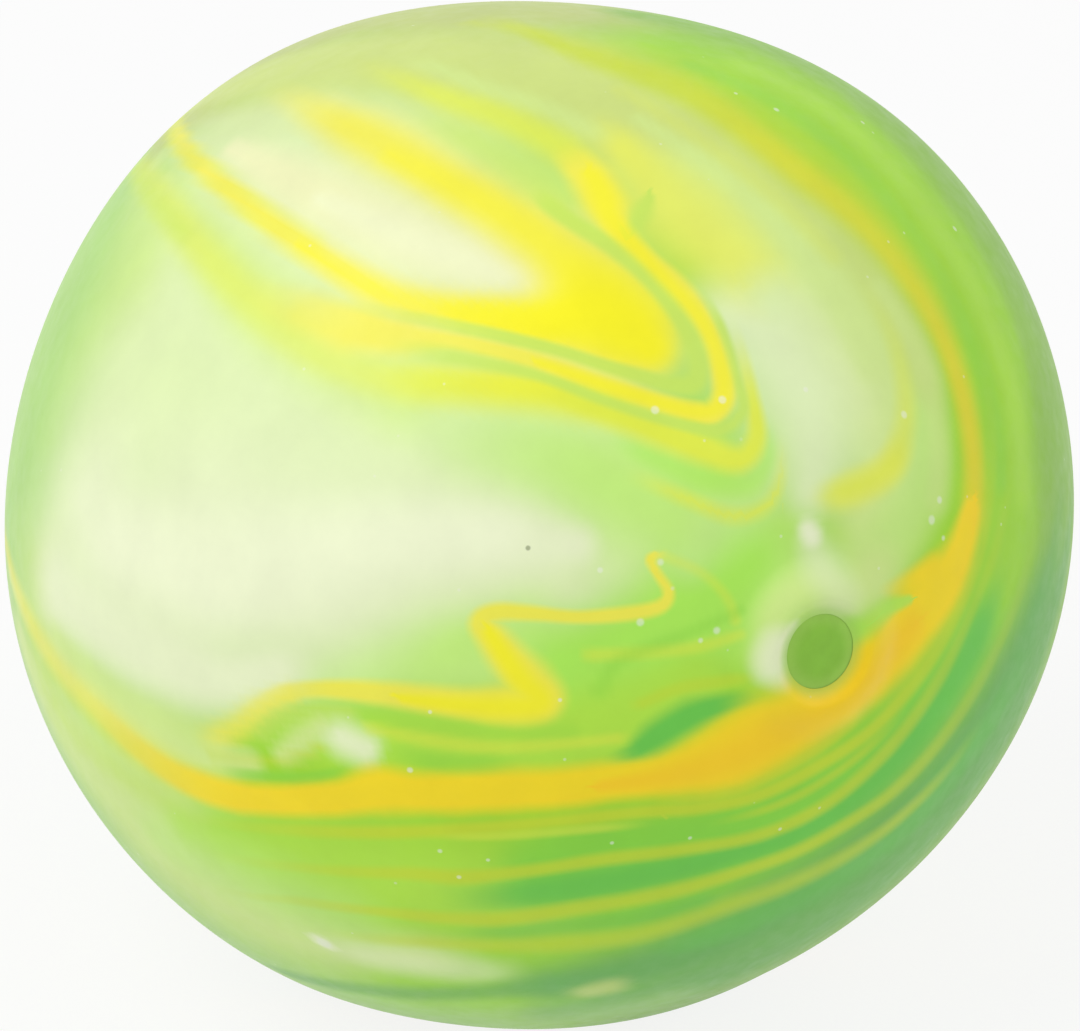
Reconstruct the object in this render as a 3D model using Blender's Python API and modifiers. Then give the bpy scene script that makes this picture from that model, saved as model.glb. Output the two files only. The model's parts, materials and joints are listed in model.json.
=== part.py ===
"""Squishy ball: a soft rubber skin filled with gel and closed by a barbed, glued plug.

Metres, +Z up. The origin is on the table, under the middle of the ball, and the plug
faces -Y. Every piece is turned about the plug's axis, which passes through the middle
of the ball, and the two soft ones then settle on the table under their own weight.
"""

import math

import bmesh
import bpy
from mathutils import Vector

# Ball at rest on a table
BALL_DIAMETER = 0.0700
BALL_HEIGHT = 0.0638
FOOT_DIAMETER = 0.0200  # flat patch that the ball stands on
FOOT_ROLL = 0.0012  # the skin rolls off the table within this height
SKIN_WALL = 0.0024

# Fill port, moulded in one with the skin
PORT_TILT = math.radians(10.5)  # the plug's axis above the horizontal
LIP_HEIGHT = 0.0007  # crest of the raised lip above the ball's surface
LIP_WIDTH = 0.0007  # from the seat's wall to the crest, and the round of its inner edge
LIP_SPREAD = 0.0028  # from the crest to where the lip has run out into the ball
NECK_WALL = 0.0023  # tube inside the ball that grips the plug's shank
NECK_LENGTH = 0.0034  # from the skin's lining to the end of the tube
NECK_FILLET = 0.0014

# Plug and its glue
HEAD_DIAMETER = 0.0052
HEAD_THICKNESS = 0.0007
HEAD_CROWN = 0.0002  # rise of the head's middle above its edge
HEAD_RECESS = 0.0005  # edge of the head below the lip's crest
SHANK_DIAMETER = 0.0032
BARB_DIAMETER = 0.0056
BARB_LENGTH = 0.0026
TIP_DIAMETER = 0.0014
GLUE_THICKNESS = 0.0003

# Fits and fineness
CLEARANCE = 0.0003
EDGE_ROUND = 0.0004  # rounding of the port's and the plug's edges
BALL_STEPS = 48
PLUG_STEPS = 32
LIP_RINGS = 8
ARC_STEP = math.radians(7.5)  # between the rings of a ball
ROUND_STEP = math.radians(30)  # between the points of a rounded edge

# Worked out from the sizes above
RADIUS = BALL_DIAMETER / 2
FOOT_SHARE = 1 - math.sqrt(1 - (FOOT_DIAMETER / BALL_DIAMETER) ** 2)
HALF_HEIGHT = (BALL_HEIGHT + FOOT_ROLL) / (2 - FOOT_SHARE)
MIDDLE = Vector((0, 0, BALL_HEIGHT - HALF_HEIGHT))
PORT_AXIS = Vector((0, -math.cos(PORT_TILT), math.sin(PORT_TILT)))
INNER_RADIUS = RADIUS - SKIN_WALL
FILLING_RADIUS = INNER_RADIUS - CLEARANCE
SEAT_RADIUS = HEAD_DIAMETER / 2 + CLEARANCE
CREST_RADIUS = SEAT_RADIUS + LIP_WIDTH
LIP_RADIUS = CREST_RADIUS + LIP_SPREAD
BORE_RADIUS = SHANK_DIAMETER / 2 + CLEARANCE
NECK_RADIUS = BORE_RADIUS + NECK_WALL
POCKET_RADIUS = NECK_RADIUS + NECK_FILLET + CLEARANCE

# Heights along the plug's axis, from the middle of the ball
CREST = math.sqrt(RADIUS**2 - CREST_RADIUS**2) + LIP_HEIGHT
HEAD_EDGE = CREST - HEAD_RECESS
HEAD_FLOOR = HEAD_EDGE - HEAD_THICKNESS
GLUE_TOP = HEAD_FLOOR - CLEARANCE
GLUE_FLOOR = GLUE_TOP - GLUE_THICKNESS
SEAT_FLOOR = GLUE_FLOOR - CLEARANCE
NECK_END = INNER_RADIUS - NECK_LENGTH
BARB_TOP = NECK_END - CLEARANCE
TIP_END = BARB_TOP - BARB_LENGTH


def smooth_step(value, low, high):
    """0 below low, 1 above high, and an even S between them."""
    share = min(1, max(0, (value - low) / (high - low)))
    return share * share * (3 - 2 * share)


def arc(middle, radius, start, end):
    """Points of a turned profile round a quarter or half turn, both ends counted from +X."""
    count = round(abs(end - start) / ROUND_STEP)
    angles = [start + (end - start) * n / count for n in range(count + 1)]
    return [(middle[0] + radius * math.cos(a), middle[1] + radius * math.sin(a)) for a in angles]


def ball_arc(radius, mouth):
    """A ball's profile from the far pole to a round mouth at the plug.

    Every ball has its rings at the same angles, so the facets of one lie along the next one's.
    """
    rings = int(math.pi / ARC_STEP)
    mouth_angle = math.acos(mouth / radius)
    angles = [n * ARC_STEP - math.pi / 2 for n in range(1, rings)]
    angles = [angle for angle in angles if angle < mouth_angle - ARC_STEP / 3] + [mouth_angle]
    return [(0, -radius)] + [(radius * math.cos(a), radius * math.sin(a)) for a in angles]


def lip_outline():
    """The raised lip, from the wall of the seat over the crest and down into the ball."""
    outline = arc((CREST_RADIUS, CREST - LIP_WIDTH), LIP_WIDTH, math.pi, math.pi / 2)
    for n in range(1, LIP_RINGS + 1):
        share = n / LIP_RINGS
        radius = CREST_RADIUS + LIP_SPREAD * share
        rise = LIP_HEIGHT * (1 + math.cos(math.pi * share)) / 2
        outline.append((radius, math.sqrt(RADIUS**2 - radius**2) + rise))
    return outline


def skin_profile():
    """Up the inside from the far pole, through the port, and down the outside to the far pole."""
    inside = ball_arc(INNER_RADIUS, NECK_RADIUS + NECK_FILLET)
    fillet_middle = (NECK_RADIUS + NECK_FILLET, inside[-1][1] - NECK_FILLET)
    neck = arc(fillet_middle, NECK_FILLET, math.pi / 2, math.pi)[1:]
    neck += arc((NECK_RADIUS - EDGE_ROUND, NECK_END + EDGE_ROUND), EDGE_ROUND, 0, -math.pi / 2)
    bore = [(BORE_RADIUS, NECK_END), (BORE_RADIUS, SEAT_FLOOR), (SEAT_RADIUS, SEAT_FLOOR)]
    outside = ball_arc(RADIUS, LIP_RADIUS)[-2::-1]
    return inside + neck + bore + lip_outline() + outside


def filling_profile():
    """From the bottom of the pocket round the plug, up its wall, and down the outside to the far pole."""
    pocket_floor = TIP_END - CLEARANCE
    pocket = [(0, pocket_floor), (POCKET_RADIUS - NECK_FILLET, pocket_floor)]
    pocket += arc((POCKET_RADIUS - NECK_FILLET, pocket_floor + NECK_FILLET), NECK_FILLET, -math.pi / 2, 0)[1:]
    return pocket + ball_arc(FILLING_RADIUS, POCKET_RADIUS)[::-1]


def plug_profile():
    """Down the outside of the plug: crowned head, shank, barb and blunt tip."""
    head, shank = HEAD_DIAMETER / 2, SHANK_DIAMETER / 2
    rounded = arc((head - EDGE_ROUND, HEAD_EDGE - EDGE_ROUND), EDGE_ROUND, math.pi / 2, 0)
    crown = [(0, HEAD_EDGE + HEAD_CROWN), (head / 2, HEAD_EDGE + HEAD_CROWN * 3 / 4)]
    under = [(head, HEAD_FLOOR), (shank, HEAD_FLOOR), (shank, BARB_TOP)]
    barb = [(BARB_DIAMETER / 2, BARB_TOP), (BARB_DIAMETER / 2, BARB_TOP - EDGE_ROUND)]
    tip = [(TIP_DIAMETER / 2, TIP_END), (0, TIP_END)]
    return crown + rounded + under + barb + tip


def glue_profile():
    """A flat ring under the plug's head, as a closed outline that runs down its outer side."""
    inner, outer = BORE_RADIUS, HEAD_DIAMETER / 2
    return [(inner, GLUE_TOP), (outer, GLUE_TOP), (outer, GLUE_FLOOR), (inner, GLUE_FLOOR)]


def material(name, colour, roughness, coat=0.0):
    """A plain finish that isn't metal."""
    made = bpy.data.materials.new(name)
    made.use_nodes = True
    shader = made.node_tree.nodes["Principled BSDF"]
    shader.inputs["Base Color"].default_value = (*colour, 1)
    shader.inputs["Roughness"].default_value = roughness
    shader.inputs["Metallic"].default_value = 0
    shader.inputs["Coat Weight"].default_value = coat
    return made


def turned(name, profile, steps, finish, axis, closed=False):
    """A profile turned about the plug's axis, as one object of the ball's collection."""
    mesh = bpy.data.meshes.new(name)
    count = len(profile)
    edges = [(n, (n + 1) % count) for n in range(count if closed else count - 1)]
    mesh.from_pydata([(radius, 0, height) for radius, height in profile], edges, [])
    mesh.materials.append(finish)
    piece = bpy.data.objects.new(name, mesh)
    ball_collection().objects.link(piece)
    piece.parent = axis
    turn = piece.modifiers.new("Turn", "SCREW")
    turn.axis = "Z"
    turn.angle = 2 * math.pi
    turn.steps = turn.render_steps = steps
    turn.use_merge_vertices = True
    turn.merge_threshold = 0.00001
    turn.use_smooth_shade = True
    return piece


def ball_collection():
    """The collection that holds the pieces, made the first time it is asked for."""
    found = bpy.data.collections.get("squishy_ball")
    if found is None:
        found = bpy.data.collections.new("squishy_ball")
        bpy.context.scene.collection.children.link(found)
    return found


def settled(point):
    """Where a point of the round ball lies once the ball has sagged on the table.

    The ball sinks evenly from the sides to the port, which is stiff and keeps its shape,
    and each layer flattens at its own depth below the skin where it meets the table.
    """
    from_middle = point - MIDDLE
    along = from_middle.dot(PORT_AXIS)
    beside = (from_middle - along * PORT_AXIS).length
    share = smooth_step(beside, LIP_RADIUS, 3 * LIP_RADIUS) if along > 0 else 1
    sunk = from_middle.z * (1 + share * (HALF_HEIGHT / RADIUS - 1))
    depth = max(0, RADIUS - from_middle.length)
    height = MIDDLE.z + sunk - depth
    if height <= -FOOT_ROLL:
        height = 0
    elif height < FOOT_ROLL:
        height = (height + FOOT_ROLL) ** 2 / (4 * FOOT_ROLL)
    return Vector((point.x, point.y, depth + height))


def settle(piece):
    """Lets a turned piece sag: its turned mesh becomes its own, and each point is moved.

    Its faces are split along their shorter diagonals, so that the lining of the skin and
    the filling, which lie along each other, fold alike.
    """
    bpy.context.view_layer.update()
    graph = bpy.context.evaluated_depsgraph_get()
    mesh = bpy.data.meshes.new_from_object(piece.evaluated_get(graph))
    world = piece.matrix_world.copy()
    piece.modifiers.clear()
    piece.data = mesh
    for vertex in mesh.vertices:
        vertex.co = world.inverted() @ settled(world @ vertex.co)
    split = bmesh.new()
    split.from_mesh(mesh)
    bmesh.ops.triangulate(split, faces=split.faces, quad_method="SHORT_EDGE")
    split.to_mesh(mesh)
    split.free()
    mesh.shade_smooth()
    mesh.set_sharp_from_angle(angle=math.radians(40))


def main():
    for old in list(bpy.data.objects):
        bpy.data.objects.remove(old)
    axis = bpy.data.objects.new("plug_axis", None)
    axis.location = MIDDLE
    axis.rotation_euler = (math.pi / 2 - PORT_TILT, 0, 0)
    bpy.context.scene.collection.objects.link(axis)

    rubber = material("marbled_rubber", (0.50, 0.77, 0.17), 0.42, coat=0.2)
    gel = material("pale_gel", (0.86, 0.88, 0.76), 0.25)
    green = material("green_rubber", (0.22, 0.48, 0.06), 0.5)
    clear = material("set_glue", (0.85, 0.86, 0.78), 0.15)

    settle(turned("skin", skin_profile(), BALL_STEPS, rubber, axis))
    settle(turned("filling", filling_profile(), BALL_STEPS, gel, axis))
    turned("fill_plug", plug_profile(), PLUG_STEPS, green, axis)
    turned("plug_glue", glue_profile(), PLUG_STEPS, clear, axis, closed=True)


main()
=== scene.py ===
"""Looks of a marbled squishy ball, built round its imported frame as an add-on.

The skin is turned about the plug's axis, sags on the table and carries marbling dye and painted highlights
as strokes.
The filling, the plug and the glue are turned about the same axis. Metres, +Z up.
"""

import json
import math
from types import SimpleNamespace
from typing import NamedTuple

import bpy
import numpy as np
from bpy.props import FloatProperty, FloatVectorProperty, IntProperty, PointerProperty
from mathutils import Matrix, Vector


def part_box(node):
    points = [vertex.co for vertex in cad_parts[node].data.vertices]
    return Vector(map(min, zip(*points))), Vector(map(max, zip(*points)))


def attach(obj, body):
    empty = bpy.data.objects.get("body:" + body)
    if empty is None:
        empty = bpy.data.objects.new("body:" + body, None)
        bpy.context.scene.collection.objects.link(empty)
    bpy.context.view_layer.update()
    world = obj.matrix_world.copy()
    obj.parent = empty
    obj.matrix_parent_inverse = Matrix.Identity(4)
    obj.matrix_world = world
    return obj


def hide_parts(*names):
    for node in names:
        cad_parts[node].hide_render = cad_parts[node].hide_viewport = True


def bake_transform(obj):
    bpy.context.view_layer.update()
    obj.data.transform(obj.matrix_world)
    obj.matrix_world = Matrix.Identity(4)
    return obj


bl_info = {
    "name": "Marbled squishy ball",
    "version": (1, 0, 0),
    "blender": (4, 5, 0),
    "location": "View3D > Sidebar > Ball",
    "description": "Builds a marbled, gel-filled squeeze ball on its packed frame",
    "category": "Add Mesh",
}

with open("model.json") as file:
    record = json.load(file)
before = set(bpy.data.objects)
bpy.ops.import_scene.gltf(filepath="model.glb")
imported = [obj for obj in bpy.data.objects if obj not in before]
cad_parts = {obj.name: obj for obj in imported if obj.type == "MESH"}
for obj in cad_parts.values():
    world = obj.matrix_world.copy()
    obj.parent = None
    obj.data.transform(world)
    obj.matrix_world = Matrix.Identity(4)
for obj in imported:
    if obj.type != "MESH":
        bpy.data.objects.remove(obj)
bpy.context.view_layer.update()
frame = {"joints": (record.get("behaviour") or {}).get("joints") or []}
SKIN_LOW, SKIN_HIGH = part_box("skin")
RADIUS = (SKIN_HIGH[0] - SKIN_LOW[0]) / 2
HEIGHT = SKIN_HIGH[2]
PORT_AXIS = Vector(frame["joints"][0]["axis"]).normalized()
SIDE_AXIS = Vector((1, 0, 0))

# The photograph and the ball's width in it, in pixels, the sensor in millimetres, and one pixel in metres.
PHOTO_WIDTH = 1080
PHOTO_HEIGHT = 1031
BALL_PIXELS = 1072
SENSOR_WIDTH = 36
PIXEL = 2 * RADIUS / BALL_PIXELS

# Steps of the curves in the profiles.
LINING_STEPS = 40
GEL_STEPS = 90
LIP_STEPS = 14
SPREAD_STEPS = 18
CROWN_STEPS = 12
FILLET_STEPS = 6
EDGE_STEPS = 5
END_STEPS = 4

# The seed that a profile is drawn out from, what counts as one place, and the angle of an edge that stays.
SEED = 0.001
WELD = 1e-6
CREASE = math.radians(40)

# How far the port and the foot keep their shape: in radii of the lip and in heights of the foot's roll.
PORT_CALM = 3
FOOT_CALM = 5


def length(name, description, default):
    """A length in metres that a user can change."""
    return FloatProperty(name=name, description=description, default=default, unit="LENGTH", precision=5)


def dye(name, description, red, green, blue):
    """A colour that a user can change, by its screen values from 0 to 255."""
    colour = (red / 255, green / 255, blue / 255)
    return FloatVectorProperty(name=name, description=description, default=colour, subtype="COLOR_GAMMA")


class BallSizes(bpy.types.PropertyGroup):
    """Sizes of the ball, of its fill port and of the plug, as the frame was built."""

    wall: length("Wall", "Thickness of the skin", 0.0024)
    foot: length("Foot", "Diameter of the flat patch that the ball stands on", 0.02)
    foot_roll: length("Foot roll", "Height in which the skin rolls off the table", 0.0012)
    lip_height: length("Lip height", "Crest of the port's lip above the ball", 0.0007)
    lip_width: length("Lip width", "From the seat's wall to the lip's crest", 0.0007)
    lip_opening: length("Lip opening", "Diameter of the opening where the lip closes over the head", 0.00475)
    lip_rest: length("Lip rest", "Room between the lip and the head under it", 0.00003)
    lip_tint: length("Lip tint", "How far the plug's green shows on the lip", 0.0009)
    lip_spread: length("Lip spread", "From the crest to where the lip ends", 0.0028)
    neck_wall: length("Neck wall", "Wall of the tube that grips the plug", 0.0023)
    neck_length: length("Neck length", "Length of that tube inside the ball", 0.0034)
    neck_fillet: length("Neck fillet", "Fillet between that tube and the lining", 0.0014)
    head: length("Head", "Diameter of the plug's head", 0.0052)
    head_thickness: length("Head thickness", "Thickness of the head's edge", 0.0007)
    head_crown: length("Head crown", "Rise of the head's middle above its edge", 0.0002)
    head_recess: length("Head recess", "Edge of the head below the lip's crest", 0.0005)
    shank: length("Shank", "Diameter of the plug's shank", 0.0032)
    barb: length("Barb", "Diameter of the barb that holds the plug", 0.0056)
    barb_length: length("Barb length", "From the barb's shoulder to the plug's tip", 0.0026)
    tip: length("Tip", "Diameter of the plug's blunt tip", 0.0014)
    glue: length("Glue", "Thickness of the set glue under the head", 0.0003)
    gap: length("Gap", "Room between pieces that touch", 0.0003)
    edge: length("Edge", "Rounding of the neck's and the barb's edges", 0.0004)
    facets: IntProperty(name="Facets", description="Steps round the ball", default=320, min=48)
    rings: IntProperty(name="Rings", description="Rings from the port to the far pole", default=212, min=48)
    gel_facets: IntProperty(name="Gel facets", description="Steps round the filling", default=128, min=24)
    plug_facets: IntProperty(name="Plug facets", description="Steps round plug and glue", default=96, min=24)


class BallColours(bpy.types.PropertyGroup):
    """Dyes of the marbling and colours of the small pieces."""

    # White also paints highlights round the port, in the dent and low on the ball, and pearl and pale lime
    # paint some round the port; elsewhere they are dye.
    white: dye("White", "White dye, thinned by green", 243, 250, 212)
    pearl: dye("Pearl", "White dye with a breath of green", 234, 244, 200)
    cream: dye("Cream", "White dye warmed by yellow", 239, 242, 186)
    mint: dye("Mint", "White and green, mostly white", 222, 240, 178)
    pale_lime: dye("Pale lime", "Pale mix of white, yellow and green", 212, 237, 142)
    lime: dye("Lime", "White and green in equal parts", 196, 240, 124)
    spring: dye("Spring", "Clear light green", 174, 240, 86)
    fresh: dye("Fresh", "Clear light green with yellow", 182, 234, 66)
    leaf: dye("Leaf", "Green that the rest is swirled into", 162, 222, 36)
    grass: dye("Grass", "Middle green", 136, 218, 58)
    deep: dye("Deep", "Strong green", 104, 204, 70)
    moss: dye("Moss", "Deepest green, low on the ball", 102, 180, 74)
    meadow: dye("Meadow", "Green with much yellow", 160, 220, 0)
    rim_green: dye("Rim green", "Dull green of the right side", 136, 192, 46)
    sage: dye("Sage", "Pale dull green", 172, 218, 116)
    straw: dye("Straw", "Pale dull yellow green", 206, 224, 124)
    yellow: dye("Yellow", "Yellow thinned by white", 242, 237, 78)
    sun: dye("Sun", "Clear yellow", 250, 243, 0)
    gold: dye("Gold", "Golden yellow of the long band", 252, 224, 0)
    amber: dye("Amber", "Deepest gold of the long band", 255, 212, 0)
    olive: dye("Olive", "Yellow seen through green", 204, 222, 36)
    pear: dye("Pear", "Light green with much yellow", 200, 232, 92)
    hay: dye("Hay", "Dull yellow green of the top", 192, 208, 116)
    lemon: dye("Lemon", "Yellow with a little green", 240, 243, 72)
    chartreuse: dye("Chartreuse", "Half yellow, half green", 226, 238, 66)
    plug: dye("Plug", "Green rubber of the plug", 138, 196, 62)
    plug_edge: dye("Plug edge", "The same rubber at the edge of the head", 160, 208, 86)
    gel: dye("Gel", "Cloudy gel of the filling", 236, 240, 220)
    set_glue: dye("Set glue", "Clear glue under the plug's head", 226, 232, 210)


class BallView(bpy.types.PropertyGroup):
    """The camera, placed as the photograph was taken, and the studio light."""

    azimuth: FloatProperty(
        name="Azimuth", description="Turn of the camera", default=math.radians(-30.15), subtype="ANGLE"
    )
    elevation: FloatProperty(
        name="Elevation", description="Camera above the table", default=math.radians(28.25), subtype="ANGLE"
    )
    distance: length("Distance", "From the camera to the aim", 0.45)
    lens: FloatProperty(name="Lens", description="Focal length in millimetres", default=229.1)
    aim: FloatVectorProperty(
        name="Aim", description="Point in the middle of the picture", default=(0.0001, -0.00016, 0.03045)
    )
    key_power: FloatProperty(name="Key", description="Lamp at the upper left", default=3.8, unit="POWER")
    fill_power: FloatProperty(name="Fill", description="Lamp at the upper right", default=1.0, unit="POWER")
    room_light: FloatProperty(name="Room", description="Even light of the white room", default=0.54)


class Stroke(NamedTuple):
    """A stroke of dye or of painted highlight: how soft its edge is as a share of its half width, how much
    it lays, its points (x, y, half width) and the lengths in which its ends thin out, all in the
    photograph's pixels."""

    coat: str
    colour: str
    soft: float
    strength: float
    points: tuple
    fade: tuple


def brush(colour, soft, *points, coat="ground", strength=1, fade=(0, 0)):
    """A stroke, by default one of those that are mixed into the ground."""
    return Stroke(coat, colour, soft, strength, points, fade)


class Swirl(NamedTuple):
    """A stroke on the side that the photograph hides, winding out from a point there: how far it lies off
    the spiral in quarter turns of the ball, the turns between which it winds and its half width."""

    coat: str
    colour: str
    soft: float
    strength: float
    offset: float
    start: float
    end: float
    width: float
    fade: tuple = (60, 120)


# Lumps of the outline: angle in the picture in degrees from its right side, and height in metres.
LUMPS = (
    (38, 0.0005), (60, 0.0006), (80, -0.0006), (122, 0.0009), (168, -0.0006), (183, 0.00025), (240, 0.0005),
    (288, -0.00025), (320, -0.0005),
)
# How far a lump spreads, in degrees.
LUMP_SPREAD = 20

# Pale specks on the skin and one dark one: x, y and radius in the photograph's pixels.
PALE_SPECKS = (
    (440, 851, 2.4), (459, 877, 2.4), (488, 860, 2), (325, 941, 8), (430, 712, 2), (775, 112, 3),
    (858, 128, 2.4), (735, 95, 2), (950, 232, 3), (722, 400, 4), (740, 440, 3), (660, 562, 4), (640, 622, 4),
    (700, 640, 3), (716, 630, 4), (672, 588, 3), (930, 520, 5), (942, 538, 3), (938, 500, 4), (903, 415, 4),
    (612, 843, 2), (690, 838, 2), (780, 829, 2), (560, 700, 2), (410, 770, 3), (600, 570, 3), (655, 410, 4),
    (805, 390, 3),
)
DARK_SPECKS = ((528, 548, 2.4),)

# The dye under all strokes, and the coats of crisp strokes in the order in which the material lays them.
BASE_DYE = "leaf"
COATS = ("bands", "veins", "lines", "threads", "fine", "glow")
# How far from a crisp stroke its distance is kept, in half widths and at least in metres.
COAT_REACH = 3.2
COAT_ROOM = 0.0022
# The distance in half widths where no stroke is near.
FAR_AWAY = 40.0
# How far in metres a distance can be off across one facet of the skin.
FACET_ROOM = 0.00035
# The least share of a stroke's width that the camera is taken to see near the outline.
LEAST_SHOWN = 0.22

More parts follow.
